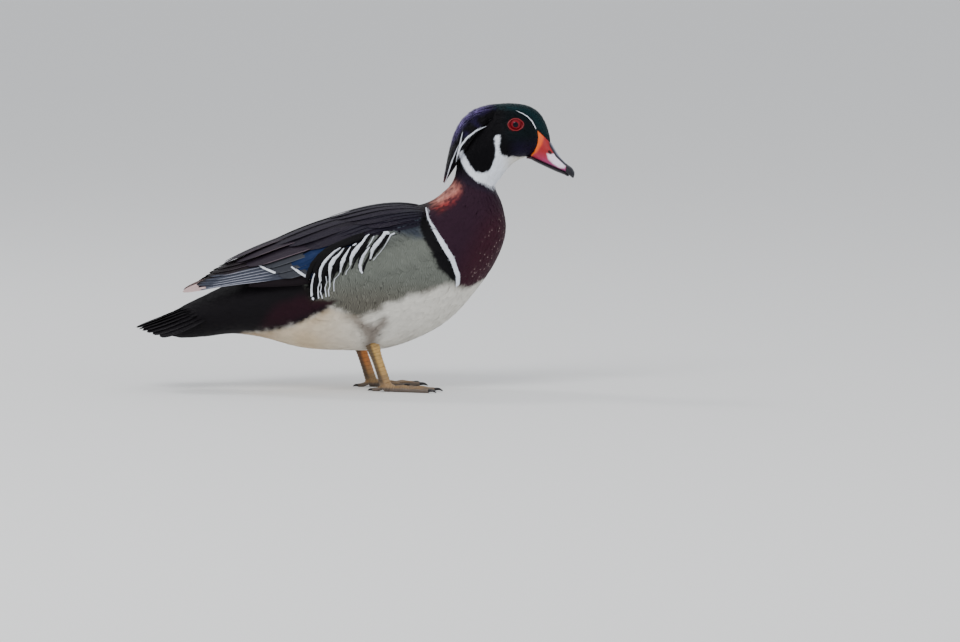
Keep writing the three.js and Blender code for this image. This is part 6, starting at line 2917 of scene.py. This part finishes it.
@dataclass(frozen=True)
class Studio:
    """The pale floor, soft lights and camera."""

    distance: float = 8.0
    rise_deg: float = 4.5
    aim: tuple[float, float, float] = (0.110, 0.0, 0.060)
    frame_width: float = 0.845  # of the view at the bird, in metres
    sensor: float = 36.0
    floor_radius: float = 60.0
    floor_colour: tuple = (0.8, 0.8, 0.79, 1)
    floor_roughness: float = 0.75
    sky: tuple = (0.86, 0.88, 0.92, 1)
    sky_strength: float = 0.97
    # Each light's name, place and size in metres, and watts
    lights: tuple = (
        ("key", (-1.1, -2.3, 2.6), 1.6, 66),
        ("fill", (2.2, -2.1, 1.1), 1.8, 14),
        ("rim", (-1.3, 1.1, 1.9), 0.5, 12),
    )

    def build(self) -> None:
        """Makes the stage, lights and camera."""
        self._floor()
        self._camera()
        for light in self.lights:
            self._light(*light)
        world = bpy.data.worlds.new("studio")
        world.use_nodes = True
        background = world.node_tree.nodes["Background"]
        background.inputs["Color"].default_value = self.sky
        background.inputs["Strength"].default_value = self.sky_strength
        bpy.context.scene.world = world

    def _floor(self) -> None:
        """Makes a pale floor that reaches past every view's edge."""
        turns = np.arange(96) * math.pi / 48
        mesh = bpy.data.meshes.new("floor")
        rim = np.stack([np.cos(turns), np.sin(turns), 0 * turns], 1) * self.floor_radius
        mesh.from_pydata(rim.tolist(), [], [range(len(rim))])
        floor = bpy.data.objects.new("floor", mesh)
        bpy.context.scene.collection.objects.link(floor)
        made = bpy.data.materials.new("floor")
        made.use_nodes = True
        shader = made.node_tree.nodes["Principled BSDF"]
        shader.inputs["Base Color"].default_value = self.floor_colour
        shader.inputs["Roughness"].default_value = self.floor_roughness
        floor.data.materials.append(made)

    def _camera(self) -> None:
        """Makes the camera at the photo's angle and framing."""
        data = bpy.data.cameras.new("camera")
        data.sensor_width = self.sensor
        data.lens = self.sensor * self.distance / self.frame_width
        camera = bpy.data.objects.new("camera", data)
        rise = math.radians(self.rise_deg)
        aim = Vector(self.aim)
        camera.location = aim + Vector((0, -math.cos(rise), math.sin(rise))) * self.distance
        camera.rotation_euler = (aim - camera.location).to_track_quat("-Z", "Y").to_euler()
        bpy.context.scene.collection.objects.link(camera)
        bpy.context.scene.camera = camera

    def _light(self, name: str, place: tuple[float, float, float], size: float, watts: float) -> None:
        """Makes one soft light that faces the bird.

        Args:
            name: Its name.
            place: Where it is, in metres.
            size: Its width, in metres.
            watts: Its power.
        """
        data = bpy.data.lights.new(name, "AREA")
        data.size = size
        data.energy = watts
        lamp = bpy.data.objects.new(name, data)
        lamp.location = place
        lamp.rotation_euler = (Vector((0, 0, 0.12)) - lamp.location).to_track_quat("-Z", "Y").to_euler()
        bpy.context.scene.collection.objects.link(lamp)


def main() -> None:
    """Builds the bird and its studio in order."""
    logging.basicConfig(level=logging.INFO, format="%(message)s")
    detail = feather_detail()
    marks = vane_marks()
    finishes = {finish.name: finish.build(detail) for finish in FEATHER_FINISHES}
    finishes |= {finish.name: finish.build(marks) for finish in VANE_FINISHES}
    finishes |= {finish.name: finish.build() for finish in HORN_FINISHES}
    eye = EyeFinish().build()
    plumage = Plumage()
    Coat(plumage, finishes).build()
    Crest(plumage, finishes).build()
    Tail(plumage, finishes).build()
    Bill(finishes["horn"]).build()
    for side in (-1, 1):
        Wing(plumage, finishes, side).build()
        FlankPlumes(plumage, finishes, side).build()
        Streaks(plumage, finishes, side).build()
        Eye(eye, finishes["lid"], side).build()
        Foot(finishes, side).build()
    Studio().build()


if __name__ == "__main__":
    main()
